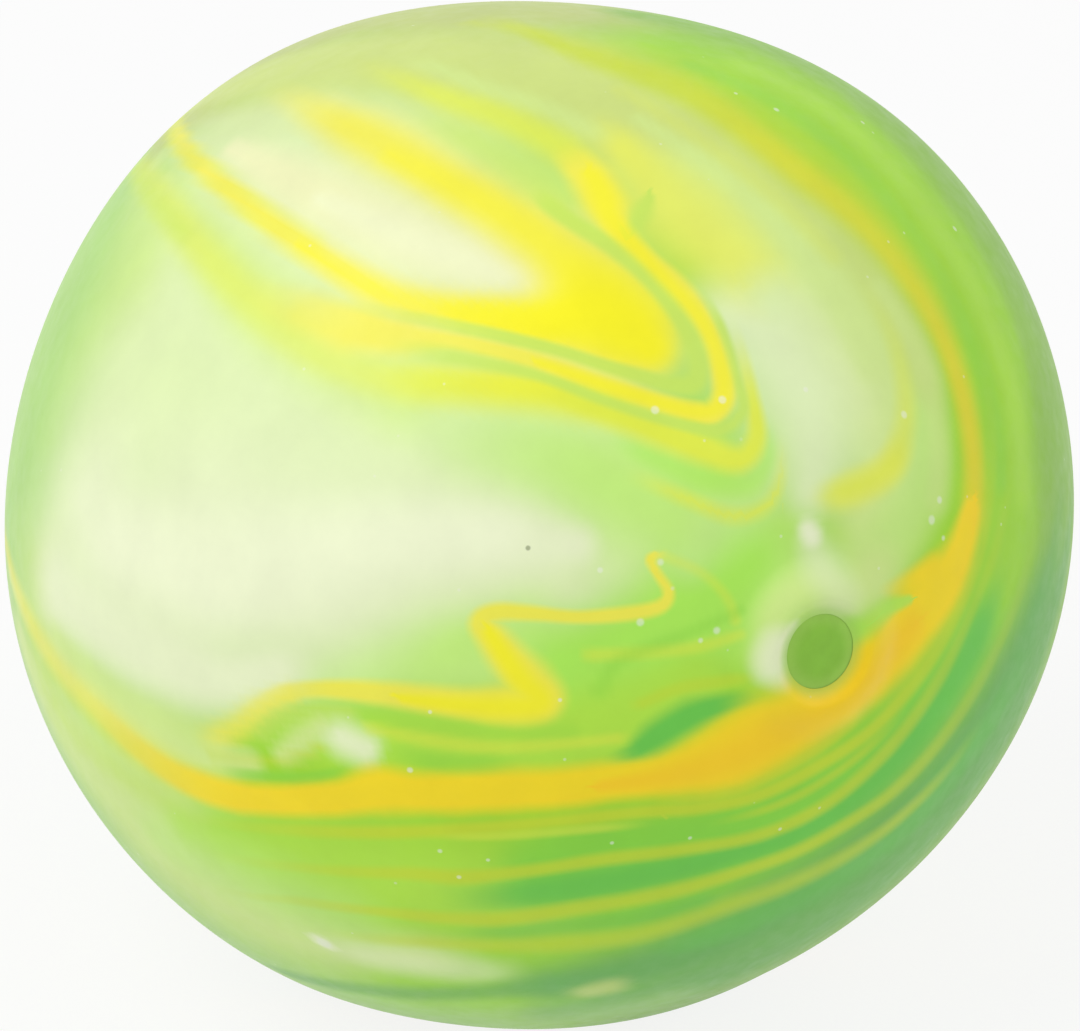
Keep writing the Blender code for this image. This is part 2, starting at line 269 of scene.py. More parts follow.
# The strokes in the order in which they are laid.
MARBLING = {
    "inner_field": brush(
        "mint", 0.35, (290, 240, 220), (380, 380, 250), (430, 480, 180), (560, 500, 120),
    ),
    "left_base": brush(
        "pale_lime", 0.5, (160, 150, 34), (110, 230, 50), (66, 320, 56), (36, 410, 56), (24, 500, 50),
        (30, 570, 36),
    ),
    "left_corner": brush(
        "mint", 0.8, (180, 150, 16), (215, 152, 26), (260, 142, 28), (310, 140, 24), strength=0.9,
    ),
    "corner_blend": brush(
        "mint", 0.95, (184, 136, 14), (240, 122, 24), (290, 110, 24), (330, 104, 16), strength=0.9,
    ),
    "limb_right": brush(
        "rim_green", 0.6, (491, -26, 26), (685, -8, 28), (861, 70, 28), (999, 204, 28), (1081, 374, 28),
        (1098, 562, 28), (1047, 745, 26), fade=(160, 120),
    ),
    "limb_low": brush(
        "rim_green", 0.6, (1098, 562, 22), (1081, 656, 28), (999, 827, 28), (861, 961, 28),
        (685, 1040, 28), (491, 1056, 24), fade=(120, 160),
    ),
    "limb_low_left": brush(
        "sage", 0.6, (589, 1056, 20), (395, 1040, 26), (219, 961, 28), (81, 827, 28), (0, 656, 28),
        (-18, 468, 22), fade=(160, 120),
    ),
    "limb_left": brush(
        "sage", 0.6, (-18, 562, 22), (0, 374, 28), (81, 204, 28), (180, 103, 22), fade=(100, 80),
    ),
    "limb_top": brush(
        "hay", 0.6, (111, 166, 18), (219, 70, 26), (395, -8, 28), (589, -26, 24), (685, -8, 16),
        fade=(60, 160),
    ),
    "top_rim": brush(
        "hay", 0.7, (180, 112, 18), (300, 46, 26), (430, 18, 28), (540, 8, 28), (620, 10, 20),
    ),
    "top_field": brush(
        "straw", 0.6, (200, 112, 18), (300, 70, 28), (430, 60, 50), (540, 75, 65), (640, 130, 66),
        (720, 190, 60), (770, 240, 40),
    ),
    "corner_haze": brush(
        "hay", 0.95, (186, 130, 16), (236, 112, 22), (290, 98, 22), (345, 92, 14), strength=0.42,
        fade=(0, 60),
    ),
    "corner_shade": brush("hay", 0.95, (205, 150, 18), (250, 134, 24), (300, 122, 20), strength=0.22),
    "right_field": brush(
        "pale_lime", 0.7, (700, 190, 40), (790, 255, 56), (850, 330, 50), (885, 410, 46), (895, 470, 42),
        (875, 530, 40),
    ),
    "upper_left_top": brush(
        "straw", 0.95, (190, 116, 14), (250, 94, 24), (310, 80, 28), (370, 76, 26), strength=0.85,
    ),
    "left_upper": brush(
        "pale_lime", 0.9, (110, 330, 30), (130, 270, 30), (145, 215, 20), (160, 165, 14), strength=0.6,
    ),
    "left_field": brush(
        "mint", 0.7, (40, 490, 46), (70, 470, 60), (95, 430, 66), (150, 380, 80), (230, 390, 110),
        (340, 420, 110), (430, 470, 90), (540, 520, 60),
    ),
    "upper_left_field": brush(
        "pale_lime", 0.8, (165, 185, 14), (205, 240, 28), (260, 300, 36), (330, 350, 40), (400, 385, 40),
    ),
    "left_rim": brush(
        "sage", 0.95, (2, 545, 14), (14, 480, 28), (28, 410, 32), (52, 335, 32), (88, 258, 32),
        (126, 190, 24), (150, 156, 12),
    ),
    "left_low_rim": brush("sage", 0.95, (0, 490, 16), (4, 530, 18), (12, 575, 12), strength=0.7),
    "middle_lime": brush(
        "lime", 0.9, (330, 398, 12), (420, 418, 24), (480, 436, 38), (560, 458, 44), (650, 500, 58),
        (720, 540, 66), (770, 590, 60), (800, 620, 50), fade=(280, 0),
    ),
    "pool_south": brush(
        "lime", 0.9, (240, 712, 8), (310, 690, 18), (390, 662, 34), (450, 650, 36), (520, 640, 36),
        fade=(60, 0),
    ),
    "right_spring": brush("spring", 0.8, (570, 670, 40), (640, 650, 50), (700, 610, 46), (740, 560, 36)),
    "right_white": brush(
        "white", 0.95, (735, 318, 32), (770, 350, 50), (800, 400, 52), (812, 450, 40), (808, 490, 22),
        strength=0.72,
    ),
    "right_haze": brush("mint", 0.95, (690, 562, 18), (730, 520, 24), (768, 474, 18), strength=0.28),
    "right_lime": brush(
        "lime", 0.9, (925, 420, 14), (920, 480, 24), (900, 525, 26), (870, 560, 26), strength=0.7,
    ),
    "yellow_field": brush(
        "lemon", 0.9, (590, 110, 8), (630, 155, 20), (690, 218, 42), (740, 262, 32), (780, 300, 10),
        strength=0.66, fade=(60, 60),
    ),
    "white_pool": brush(
        "pearl", 0.85, (90, 505, 40), (115, 535, 85), (200, 565, 105), (300, 575, 85), (400, 550, 55),
        (500, 542, 36), (575, 545, 18),
    ),
    "white_pool_heart": brush(
        "white", 0.9, (120, 560, 40), (200, 575, 50), (300, 560, 42), (400, 540, 30), (490, 536, 22),
        (555, 540, 12), strength=0.8, fade=(0, 60),
    ),
    "white_pool_low": brush(
        "pearl", 0.8, (60, 590, 46), (140, 645, 50), (210, 678, 34), (270, 672, 22), (330, 655, 16),
        fade=(0, 60),
    ),
    "pool_shore": brush(
        "pale_lime", 0.8, (8, 572, 8), (36, 630, 16), (82, 682, 20), (142, 726, 20), (200, 756, 16),
        (250, 762, 12),
    ),
    "shore_upper": brush(
        "pale_lime", 0.95, (56, 636, 10), (108, 690, 15), (168, 724, 17), (218, 742, 13), strength=0.75,
    ),
    "lower_left": brush(
        "pale_lime", 0.8, (22, 640, 14), (76, 745, 34), (148, 825, 44), (230, 892, 42), (320, 938, 30),
        (410, 952, 22), (500, 958, 14), fade=(0, 80),
    ),
    "band_under_left": brush(
        "pale_lime", 0.95, (40, 668, 10), (78, 716, 14), (120, 760, 16), (175, 800, 15), (225, 822, 10),
        strength=0.45, fade=(0, 50),
    ),
    "band_under_pear": brush(
        "pear", 0.95, (22, 596, 9), (38, 650, 10), (60, 712, 10), (100, 758, 14), (150, 792, 13),
        (200, 818, 9), strength=0.42, fade=(30, 40),
    ),
    "left_pool_rim": brush(
        "pearl", 0.95, (2, 560, 10), (14, 640, 12), (40, 712, 12), (74, 772, 10), strength=0.25,
        fade=(0, 60),
    ),
    "right_edge": brush(
        "rim_green", 0.8, (640, 14, 10), (760, 48, 14), (860, 100, 18), (950, 178, 20), (1015, 280, 22),
        (1050, 400, 24), (1060, 510, 24), (1045, 620, 26), (1000, 730, 26),
    ),
    "right_meadow": brush(
        "meadow", 0.8, (690, 42, 16), (790, 92, 24), (870, 155, 27), (940, 245, 27), (982, 335, 26),
        (1008, 440, 22), strength=0.75, fade=(80, 60),
    ),
    "under_band": brush(
        "leaf", 0.5, (230, 840, 20), (320, 860, 40), (420, 870, 50), (540, 870, 60), (660, 860, 60),
        (780, 820, 60), (880, 750, 50), (950, 670, 45), (990, 570, 30),
    ),
    "under_left": brush(
        "fresh", 0.9, (190, 830, 20), (280, 860, 40), (380, 880, 48), (470, 895, 44), (540, 905, 30),
        strength=0.9,
    ),
    "under_left_pale": brush("lime", 0.9, (170, 840, 24), (250, 880, 30), (340, 915, 24), strength=0.6),
    "under_green": brush(
        "grass", 0.8, (540, 872, 26), (600, 872, 42), (700, 860, 45), (820, 810, 45), (910, 730, 40),
        (970, 640, 30),
    ),
    "under_rim": brush(
        "moss", 0.85, (560, 985, 20), (680, 958, 30), (790, 908, 34), (890, 838, 36), (970, 748, 34),
        (1025, 650, 26), (1056, 545, 14), (1062, 450, 8), fade=(0, 190),
    ),
    "outer_rim": brush(
        "moss", 0.8, (560, 1014, 12), (700, 984, 20), (820, 928, 24), (920, 848, 24), (1000, 745, 22),
        (1046, 640, 18), (1070, 530, 11), (1070, 440, 7), strength=0.85, fade=(0, 190),
    ),
    "low_rim": brush(
        "sage", 0.9, (280, 978, 14), (380, 1006, 15), (460, 1018, 15), (560, 1020, 13), (660, 1004, 10),
        strength=0.6,
    ),
    "middle_greens": brush(
        "fresh", 0.7, (250, 738, 16), (330, 735, 30), (430, 735, 34), (540, 740, 34), (620, 725, 40),
        (690, 690, 30), strength=0.9, fade=(80, 0),
    ),
    "hairpin_cream": brush(
        "cream", 0.9, (235, 152, 12), (280, 176, 26), (330, 200, 38), (400, 232, 42), (470, 258, 34),
        (545, 280, 18),
    ),
    "hairpin_white": brush(
        "white", 0.9, (320, 200, 8), (400, 234, 18), (470, 262, 16), (530, 278, 8), strength=0.4,
    ),
    "hairpin_top": brush(
        "yellow", 0.85, (262, 92, 8), (325, 116, 20), (360, 133, 26), (400, 153, 28), (450, 181, 26),
        (500, 208, 27), (550, 242, 31), (600, 285, 36), (630, 325, 34), fade=(190, 0),
    ),
    "hairpin_low_rim": brush(
        "chartreuse", 0.9, (172, 118, 8), (184, 146, 9), (210, 174, 11), (255, 210, 12), (310, 248, 12),
        strength=0.9,
    ),
    "hairpin_low": brush(
        "yellow", 0.8, (172, 118, 8), (195, 160, 8), (250, 206, 10), (300, 243, 12), (350, 275, 15),
        (400, 300, 17), (450, 311, 18), (500, 318, 20), (560, 328, 22), (620, 342, 22), (645, 348, 18),
        fade=(120, 0),
    ),
    "hairpin_start": brush(
        "olive", 0.9, (172, 130, 7), (184, 152, 8), (206, 174, 7), strength=0.3, fade=(0, 30),
    ),
    "hairpin_body": brush(
        "sun", 0.8, (450, 312, 10), (530, 322, 24), (585, 312, 42), (625, 325, 42), (648, 345, 24),
    ),
    "yellow_limb": brush(
        "sun", 0.9, (390, 158, 10), (470, 200, 18), (540, 245, 20), (600, 290, 24), strength=0.45,
    ),
    "low_limb": brush(
        "sun", 0.9, (300, 246, 6), (350, 277, 9), (400, 300, 11), (470, 314, 14), (540, 322, 13),
        strength=0.6,
    ),
    "second_sun_tail": brush("sun", 0.95, (300, 312, 10), (350, 326, 14), (400, 337, 12), strength=0.3),
    "hairpin_green": brush(
        "pear", 0.6, (530, 186, 7), (552, 207, 8), (580, 227, 8), (612, 247, 8), (650, 280, 8),
        (682, 320, 9), (698, 355, 11), (695, 382, 10), (672, 385, 8), (640, 376, 7), (600, 364, 6),
        (560, 351, 6), (500, 336, 6), (440, 323, 6), (380, 311, 6), (320, 297, 5), coat="threads",
        strength=0.9, fade=(30, 200),
    ),
    "second_yellow": brush(
        "yellow", 0.6, (556, 142, 12), (590, 178, 19), (606, 205, 21), (622, 238, 11), (650, 262, 9),
        (682, 291, 10), (706, 326, 10), (718, 360, 10), (725, 392, 11), (713, 414, 10), (690, 411, 9),
        (650, 400, 9), (600, 384, 9), (560, 369, 9), (500, 352, 9), (450, 342, 10), (400, 337, 17),
        (350, 326, 22), (310, 312, 20), (265, 294, 15), (235, 282, 10), coat="veins", fade=(45, 170),
    ),
    "second_sun": brush(
        "sun", 0.9, (592, 175, 9), (604, 198, 14), (612, 220, 10), (650, 263, 7), (706, 328, 7),
        (724, 392, 8), (700, 412, 7), (620, 390, 6), (540, 363, 4), coat="glow", strength=0.7,
    ),
    "second_green": brush(
        "pear", 0.8, (695, 282, 4), (720, 325, 5), (737, 380, 5), (742, 412, 6), (718, 431, 6),
        (690, 427, 5), (650, 416, 5), (600, 399, 5), (540, 376, 5), (480, 362, 7), (430, 354, 9),
        (370, 347, 9), coat="fine", strength=0.9, fade=(50, 90),
    ),
    "first_lime": brush(
        "chartreuse", 0.9, (138, 160, 10), (160, 195, 14), (200, 248, 17), (250, 300, 19), (300, 340, 19),
        (350, 366, 18), (400, 383, 17), (460, 386, 18), (520, 388, 19), (580, 398, 18), strength=0.6,
        fade=(60, 0),
    ),
    "first_start": brush(
        "pear", 0.95, (136, 166, 9), (150, 192, 11), (172, 222, 10), (196, 248, 8), strength=0.5,
        fade=(0, 40),
    ),
    "first_vivid": brush(
        "chartreuse", 0.9, (350, 370, 8), (420, 380, 16), (500, 385, 19), (560, 391, 19), (610, 406, 17),
        (650, 424, 13), fade=(90, 40),
    ),
    "first_sun": brush(
        "sun", 0.95, (420, 380, 8), (500, 385, 12), (570, 393, 12), (630, 414, 9), strength=0.32,
        fade=(80, 60),
    ),
    "third_yellow": brush(
        "chartreuse", 0.7, (530, 382, 10), (600, 405, 14), (650, 427, 15), (700, 448, 14), (737, 460, 12),
        (755, 440, 9), (752, 400, 7), (742, 355, 6), (728, 310, 5), coat="lines", fade=(60, 110),
    ),
    "third_green": brush(
        "spring", 0.9, (600, 432, 8), (650, 455, 11), (700, 478, 13), (745, 484, 12), (766, 458, 8),
        (764, 410, 6), strength=0.65, fade=(50, 50),
    ),
    "fourth_lime": brush(
        "chartreuse", 0.9, (620, 470, 7), (690, 501, 7), (730, 516, 8), (762, 508, 7), (778, 480, 6),
        (780, 430, 5), coat="veins", strength=0.7, fade=(70, 70),
    ),
    "notch_green": brush(
        "pear", 0.8, (650, 196, 5), (642, 212, 10), (634, 228, 7), coat="threads", strength=0.85,
    ),
    "top_green": brush(
        "pear", 0.9, (390, 104, 9), (470, 142, 14), (530, 178, 18), (560, 200, 14), strength=0.6,
        fade=(110, 0),
    ),
    "top_streak": brush(
        "chartreuse", 0.9, (345, 60, 8), (395, 79, 11), (450, 100, 13), (500, 116, 15), (560, 146, 16),
        (590, 172, 10), strength=0.75, fade=(170, 0),
    ),
    "right_thin": brush(
        "chartreuse", 0.95, (845, 262, 6), (885, 322, 7), (902, 375, 8), (904, 425, 10), (888, 466, 12),
        (850, 488, 12), (795, 502, 8), coat="veins", strength=0.66, fade=(200, 60),
    ),
    "right_thin_gold": brush(
        "lemon", 0.9, (905, 430, 10), (888, 468, 13), (850, 490, 15), (805, 502, 11), strength=0.75,
        fade=(40, 40),
    ),
    "rim_inner": brush(
        "straw", 0.8, (590, 84, 12), (680, 116, 16), (740, 152, 18), (795, 194, 20), (842, 238, 20),
        (878, 284, 20), (906, 332, 18), (926, 380, 14), (938, 430, 9), strength=0.75, fade=(60, 60),
    ),
    "gold_rim": brush(
        "olive", 0.78, (470, 14, 7), (560, 45, 10), (620, 66, 12), (680, 88, 15), (720, 112, 16),
        (760, 142, 16), (800, 174, 16), (840, 204, 15), (880, 242, 14), (912, 284, 13), (938, 327, 12),
        (957, 374, 11), (969, 420, 10), (974, 470, 10), (972, 520, 12), strength=0.85, fade=(120, 0),
    ),
    "gold_rim_haze": brush(
        "olive", 0.95, (560, 36, 12), (640, 60, 18), (720, 96, 24), (790, 146, 26), (860, 206, 24),
        (920, 276, 20), (962, 360, 14), strength=0.34, fade=(80, 80),
    ),
    "gold_rim_core": brush(
        "gold", 0.95, (640, 78, 8), (700, 100, 10), (760, 142, 11), (800, 174, 11), (840, 206, 10),
        (880, 246, 9), (914, 290, 9), (940, 336, 9), (960, 390, 9), (972, 450, 9), (973, 510, 10),
        strength=0.26, fade=(200, 0),
    ),
    "gold_rim_line": brush(
        "amber", 0.95, (850, 214, 5), (914, 290, 6), (940, 336, 6), (960, 390, 7), (972, 450, 8),
        (973, 510, 9), coat="glow", strength=0.28, fade=(260, 0),
    ),
    "gold_left": brush(
        "yellow", 0.95, (-14, 532, 8), (6, 556, 9), (32, 626, 11), (62, 672, 13), (98, 710, 15),
        (140, 748, 16), (184, 776, 15), (230, 793, 14), strength=0.6, fade=(30, 0),
    ),
    "gold_band": brush(
        "gold", 0.5, (66, 676, 9), (102, 714, 10), (140, 749, 12), (174, 773, 13), (212, 790, 15),
        (250, 798, 16), (300, 800, 16), (345, 797, 18), (380, 790, 22), (420, 793, 19), (500, 791, 20),
        (560, 788, 19), (600, 783, 18), (650, 777, 19), (690, 768, 25), (735, 750, 35), (785, 722, 36),
        (835, 690, 34), (875, 660, 33), (910, 626, 30), (940, 590, 25), (960, 550, 16), (971, 510, 9),
        coat="bands", fade=(260, 0),
    ),
    "gold_deep": brush(
        "amber", 0.9, (600, 786, 5), (660, 778, 10), (720, 762, 18), (770, 738, 22), (820, 705, 22),
        (870, 668, 20), (910, 630, 14), coat="glow",
    ),
    "spur": brush(
        "gold", 0.75, (868, 594, 4), (890, 588, 7), (912, 580, 11), (932, 571, 14), coat="veins",
        fade=(70, 0),
    ),
    "wedge": brush(
        "spring", 0.6, (846, 634, 14), (878, 611, 11), (908, 600, 5), coat="threads", strength=0.8,
    ),
    "notch": brush(
        "deep", 0.7, (600, 760, 4), (632, 752, 7), (655, 737, 14), (690, 716, 14), (725, 703, 9),
        (770, 690, 6), coat="threads", fade=(40, 60),
    ),
    # Painted highlights round the port: a pale halo and a white crescent on the lip's upper left slope,
    # which faces the key lamp, and above them a pale streak ending in a white glint, with no relief under
    # them.
    "port_halo_highlight": brush(
        "pale_lime", 0.9, (770, 650, 18), (775, 610, 16), (805, 588, 20), (845, 592, 20), (872, 575, 26),
    ),
    "port_crescent_highlight": brush("white", 0.7, (788, 624, 8), (772, 642, 15), (768, 664, 16), (782, 688, 8)),
    "port_streak_highlight": brush("pearl", 0.95, (808, 540, 12), (820, 568, 18), (836, 600, 18), strength=0.6),
    "port_glint": brush("white", 0.8, (806, 530, 9), (810, 536, 9)),
    "zigzag_start": brush(
        "yellow", 0.9, (190, 742, 9), (232, 730, 12), (258, 711, 12), (290, 695, 9), strength=0.75,
        fade=(50, 0),
    ),
    "zigzag": brush(
        "yellow", 0.6, (232, 730, 8), (256, 708, 8), (280, 694, 8), (320, 689, 8), (370, 692, 10),
        (420, 698, 12), (470, 704, 14), (515, 704, 18), (545, 700, 17), (530, 682, 20), (510, 660, 17),
        (492, 638, 14), (480, 622, 10), (495, 612, 8), (530, 613, 7), (580, 617, 6), (630, 613, 7),
        (660, 606, 7), (668, 592, 6), (656, 572, 5), (650, 558, 5), (668, 555, 4), coat="bands",
        fade=(140, 15),
    ),
    "zigzag_sun": brush(
        "sun", 0.9, (400, 698, 4), (490, 707, 11), (540, 703, 12), (520, 678, 12), (490, 634, 7),
        coat="glow", strength=0.85,
    ),
    "under_zigzag": brush(
        "grass", 0.8, (262, 738, 6), (280, 718, 8), (320, 708, 8), (380, 716, 9), (430, 725, 9),
        (500, 732, 9), (570, 732, 8), strength=0.22,
    ),
    "curl_top": brush(
        "pear", 0.9, (262, 735, 7), (280, 718, 9), (315, 710, 8), (350, 712, 6), strength=0.6,
    ),
    "lower_green": brush(
        "grass", 0.8, (370, 744, 6), (440, 762, 8), (490, 764, 8), (525, 762, 6), coat="threads",
        strength=0.45, fade=(60, 40),
    ),
    "lower_green_left": brush(
        "grass", 0.8, (215, 768, 5), (270, 776, 5), (310, 777, 5), (355, 768, 5), coat="threads",
        strength=0.55, fade=(50, 30),
    ),
    "curl_lime": brush("pale_lime", 0.9, (283, 755, 10), (302, 740, 13), (322, 724, 9), strength=0.95),
    # Painted highlight of a shallow dent that the skin does not have, laid in white.
    "dent_highlight": brush(
        "white", 0.95, (322, 722, 8), (346, 740, 15), (388, 758, 13), strength=0.85, fade=(20, 20),
    ),
    "deep_one": brush(
        "grass", 0.8, (470, 850, 9), (560, 843, 11), (640, 833, 12), (720, 822, 11), (800, 793, 10),
        (860, 758, 10), (920, 710, 9), (970, 640, 8), strength=0.7, fade=(100, 0),
    ),
    "deep_two": brush(
        "deep", 0.8, (420, 896, 11), (490, 897, 13), (560, 890, 16), (640, 876, 15), (720, 858, 12),
        (800, 832, 11), (860, 794, 12), (906, 746, 13), (942, 698, 13), (976, 642, 12), (997, 592, 9),
        (1012, 550, 6), strength=0.9, fade=(110, 110),
    ),
    "deep_right": brush(
        "deep", 0.95, (860, 785, 8), (900, 750, 12), (936, 704, 14), (970, 646, 13), (992, 596, 9),
        strength=0.55, fade=(40, 40),
    ),
    "deep_three": brush(
        "deep", 0.8, (430, 932, 7), (500, 933, 8), (560, 928, 9), (640, 918, 9), (700, 905, 9),
        strength=0.5, fade=(80, 0),
    ),
    "deep_four": brush(
        "deep", 0.8, (640, 956, 8), (700, 940, 11), (760, 917, 14), (830, 882, 15), (900, 833, 14),
        (960, 768, 13), (1010, 692, 11), (1036, 620, 8), strength=0.5, fade=(60, 140),
    ),
    "line_one": brush(
        "olive", 0.8, (175, 812, 4), (230, 824, 5), (300, 830, 6), (400, 832, 6), (480, 828, 6),
        (560, 821, 6), (640, 812, 6), (700, 808, 6), (760, 795, 6), (820, 765, 6), (868, 733, 6),
        (903, 697, 6), (938, 650, 6), (968, 590, 5), (986, 520, 5), (992, 440, 5), (980, 360, 4),
        (955, 290, 3), coat="veins", strength=0.8, fade=(260, 560),
    ),
    "line_two": brush(
        "olive", 0.8, (190, 846, 4), (245, 860, 5), (300, 867, 5), (400, 873, 6), (460, 877, 7),
        (520, 872, 6), (600, 860, 6), (680, 850, 6), (760, 835, 6), (820, 808, 6), (866, 772, 6),
        (908, 726, 6), (942, 674, 6), (972, 610, 5), (998, 540, 5), (1010, 460, 4), (1004, 380, 3),
        coat="fine", strength=0.75, fade=(300, 540),
    ),
    "line_three": brush(
        "olive", 0.8, (195, 878, 4), (250, 894, 4), (300, 900, 5), (380, 911, 5), (450, 918, 6),
        (500, 919, 7), (560, 911, 7), (600, 905, 7), (680, 890, 7), (740, 872, 6), (800, 850, 6),
        (850, 822, 6), (890, 795, 6), (930, 755, 6), (970, 700, 6), (1002, 640, 5), (1030, 560, 5),
        (1038, 480, 4), coat="veins", strength=0.75, fade=(300, 500),
    ),
    "line_four": brush(
        "olive", 0.95, (300, 926, 5), (400, 940, 6), (460, 944, 6), (560, 944, 8), (640, 935, 8),
        (720, 910, 8), (790, 885, 8), (850, 855, 7), (900, 820, 6), (950, 770, 5), (990, 710, 4),
        coat="fine", strength=0.6, fade=(160, 150),
    ),
    "fine_line_one": brush(
        "olive", 0.9, (640, 800, 3), (720, 795, 4), (780, 772, 4), (835, 738, 4), (872, 708, 3),
        coat="lines", strength=0.6, fade=(60, 60),
    ),
    "fine_line_two": brush(
        "olive", 0.9, (700, 826, 3), (780, 804, 4), (836, 773, 4), (880, 737, 4), (912, 700, 3),
        coat="lines", strength=0.55, fade=(80, 80),
    ),
    "fine_line_three": brush(
        "chartreuse", 0.9, (420, 836, 3), (500, 836, 4), (580, 830, 4), (660, 822, 3), coat="glow",
        strength=0.5, fade=(60, 60),
    ),
    # Painted reflection low on the ball, a pale streak laid in white.
    "low_reflection": brush(
        "white", 0.95, (300, 936, 9), (400, 960, 12), (470, 970, 12), (540, 969, 9), strength=0.42,
        fade=(80, 60),
    ),
    "pale_fleck": brush("white", 0.5, (320, 938, 5), (330, 945, 4), strength=0.9),
    "low_dark": brush(
        "moss", 0.9, (255, 952, 9), (340, 982, 10), (420, 992, 10), (500, 990, 10), (580, 980, 10),
        strength=0.7, fade=(60, 60),
    ),
    "low_spot": brush(
        "straw", 0.8, (560, 998, 7), (600, 990, 8), (640, 982, 7), strength=0.8, fade=(30, 30),
    ),
    "top_streak_two": brush(
        "pale_lime", 0.9, (400, 58, 7), (480, 86, 8), (560, 114, 9), (620, 148, 8), strength=0.6,
        fade=(70, 40),
    ),
    "top_streak_three": brush("olive", 0.9, (470, 24, 5), (540, 34, 9), (600, 50, 8), strength=0.45),
    "pale_streak": brush(
        "pale_lime", 0.9, (640, 120, 6), (720, 175, 10), (790, 240, 12), (840, 310, 12), (868, 370, 10),
        strength=0.6,
    ),
    "straw_streak": brush(
        "chartreuse", 0.9, (620, 90, 6), (700, 140, 7), (770, 195, 8), (830, 255, 8), strength=0.25,
    ),
    "right_stripe": brush(
        "pale_lime", 0.9, (880, 290, 8), (925, 370, 12), (938, 440, 11), (935, 500, 10), strength=0.55,
    ),
    "crescent_dark": brush(
        "grass", 0.8, (690, 66, 5), (770, 104, 7), (845, 160, 8), (900, 222, 8), (950, 300, 8),
        (985, 385, 8), (1000, 480, 8), strength=0.4,
    ),
    "crescent_light": brush(
        "fresh", 0.8, (740, 68, 6), (820, 112, 8), (885, 170, 9), (940, 240, 9), (985, 320, 9),
        (1015, 410, 9), (1022, 490, 9), strength=0.5,
    ),
    "crescent_edge": brush(
        "rim_green", 0.8, (860, 118, 6), (930, 185, 8), (985, 260, 8), (1025, 350, 8), (1042, 440, 8),
        (1045, 530, 8), strength=0.5,
    ),
    "mid_streak_one": brush(
        "chartreuse", 0.8, (590, 655, 6), (650, 652, 6), (700, 646, 6), (740, 634, 5), strength=0.5,
    ),
    "mid_streak_two": brush(
        "olive", 0.8, (640, 704, 5), (680, 688, 6), (730, 680, 6), (770, 672, 5), strength=0.45,
    ),
    "mid_streak_three": brush(
        "chartreuse", 0.8, (664, 556, 5), (700, 572, 5), (725, 596, 5), (735, 620, 5), strength=0.45,
    ),
    "mid_streak_four": brush(
        "grass", 0.8, (600, 690, 8), (620, 660, 6), (680, 636, 6), (740, 610, 5), strength=0.35,
    ),
    "olive_streak": brush(
        "chartreuse", 0.8, (370, 728, 5), (430, 740, 6), (490, 747, 6), (560, 744, 5), (620, 738, 5),
        strength=0.5,
    ),
    "olive_streak_left": brush(
        "olive", 0.8, (212, 758, 5), (260, 762, 5), (300, 756, 5), (322, 746, 4), strength=0.4,
    ),
}

# The hidden side's spiral: its growth in a turn, middle, bend and reach, in quarter turns of the ball.
SWIRL_PITCH = 0.285
SWIRL_MIDDLE = (0.16, -0.1)
SWIRL_BEND = 0.16
SWIRL_EDGE = 0.97
# The turn of its bend in radians, and the steps in one of its turns.
SWIRL_BEND_TURN = 0.5
SWIRL_STEPS = 60
# How a swirl grows wider and narrower: by how much, how often in its angle, and its shift from band to band.
SWELL = 0.4
SWELL_RATE = 1.5
SWELL_SHIFT = 40
# Waves that carry the spiral to and fro: height, rate in quarter turns of the ball, and phase.
SWIRL_WAVES = ((0.1, 4.2, 0.4), (0.055, 8.6, 2.0))
# The swirls, laid before the strokes. Their gold band meets the one that is seen.
SWIRLS = {
    "heart": Swirl("ground", "pearl", 0.9, 1, 0, 0, 0.5, 0.005, (0, 40)),
    "heart_white": Swirl("ground", "white", 0.9, 0.8, 0, 0, 0.4, 0.0024, (0, 40)),
    "mint_patch": Swirl("ground", "mint", 0.95, 0.9, 0.06, 2.15, 2.8, 0.0048),
    "moss_patch": Swirl("ground", "moss", 0.95, 0.7, 0.1, 2.6, 3.1, 0.005),
    "straw_patch": Swirl("ground", "straw", 0.95, 0.8, 0.05, 1.1, 1.5, 0.0032),
    "pale_band": Swirl("ground", "pale_lime", 0.8, 0.95, 0.08, 0.4, 3.35, 0.0016),
    "grass_band": Swirl("ground", "grass", 0.8, 0.9, 0.15, 0.4, 3.1, 0.0015),
    "deep_band": Swirl("ground", "deep", 0.8, 0.9, 0.212, 0.3, 2.65, 0.0012),
    "outer_lime": Swirl("ground", "lime", 0.9, 0.8, 0.125, 2.6, 3.1, 0.0015),
    "outer_grass": Swirl("ground", "grass", 0.9, 0.8, 0.18, 2.45, 2.9, 0.0012),
    "gold_halo": Swirl("ground", "yellow", 0.95, 0.7, -0.024, 0.6, 3.45, 0.0014),
    "gold": Swirl("bands", "gold", 0.5, 1, 0, 0.55, 3.82, 0.0011, (120, 200)),
    "gold_core": Swirl("glow", "amber", 0.9, 0.7, 0, 0.8, 3.3, 0.0006),
    "gold_thread": Swirl("threads", "grass", 0.7, 0.85, 0.042, 0.5, 3.4, 0.0004),
    "first_vein": Swirl("veins", "olive", 0.8, 0.85, 0.115, 0.4, 3.3, 0.0004),
    "second_vein": Swirl("fine", "chartreuse", 0.8, 0.85, 0.182, 0.3, 2.95, 0.0004),
    "third_vein": Swirl("lines", "olive", 0.8, 0.8, 0.244, 0.25, 2.5, 0.0003),
}

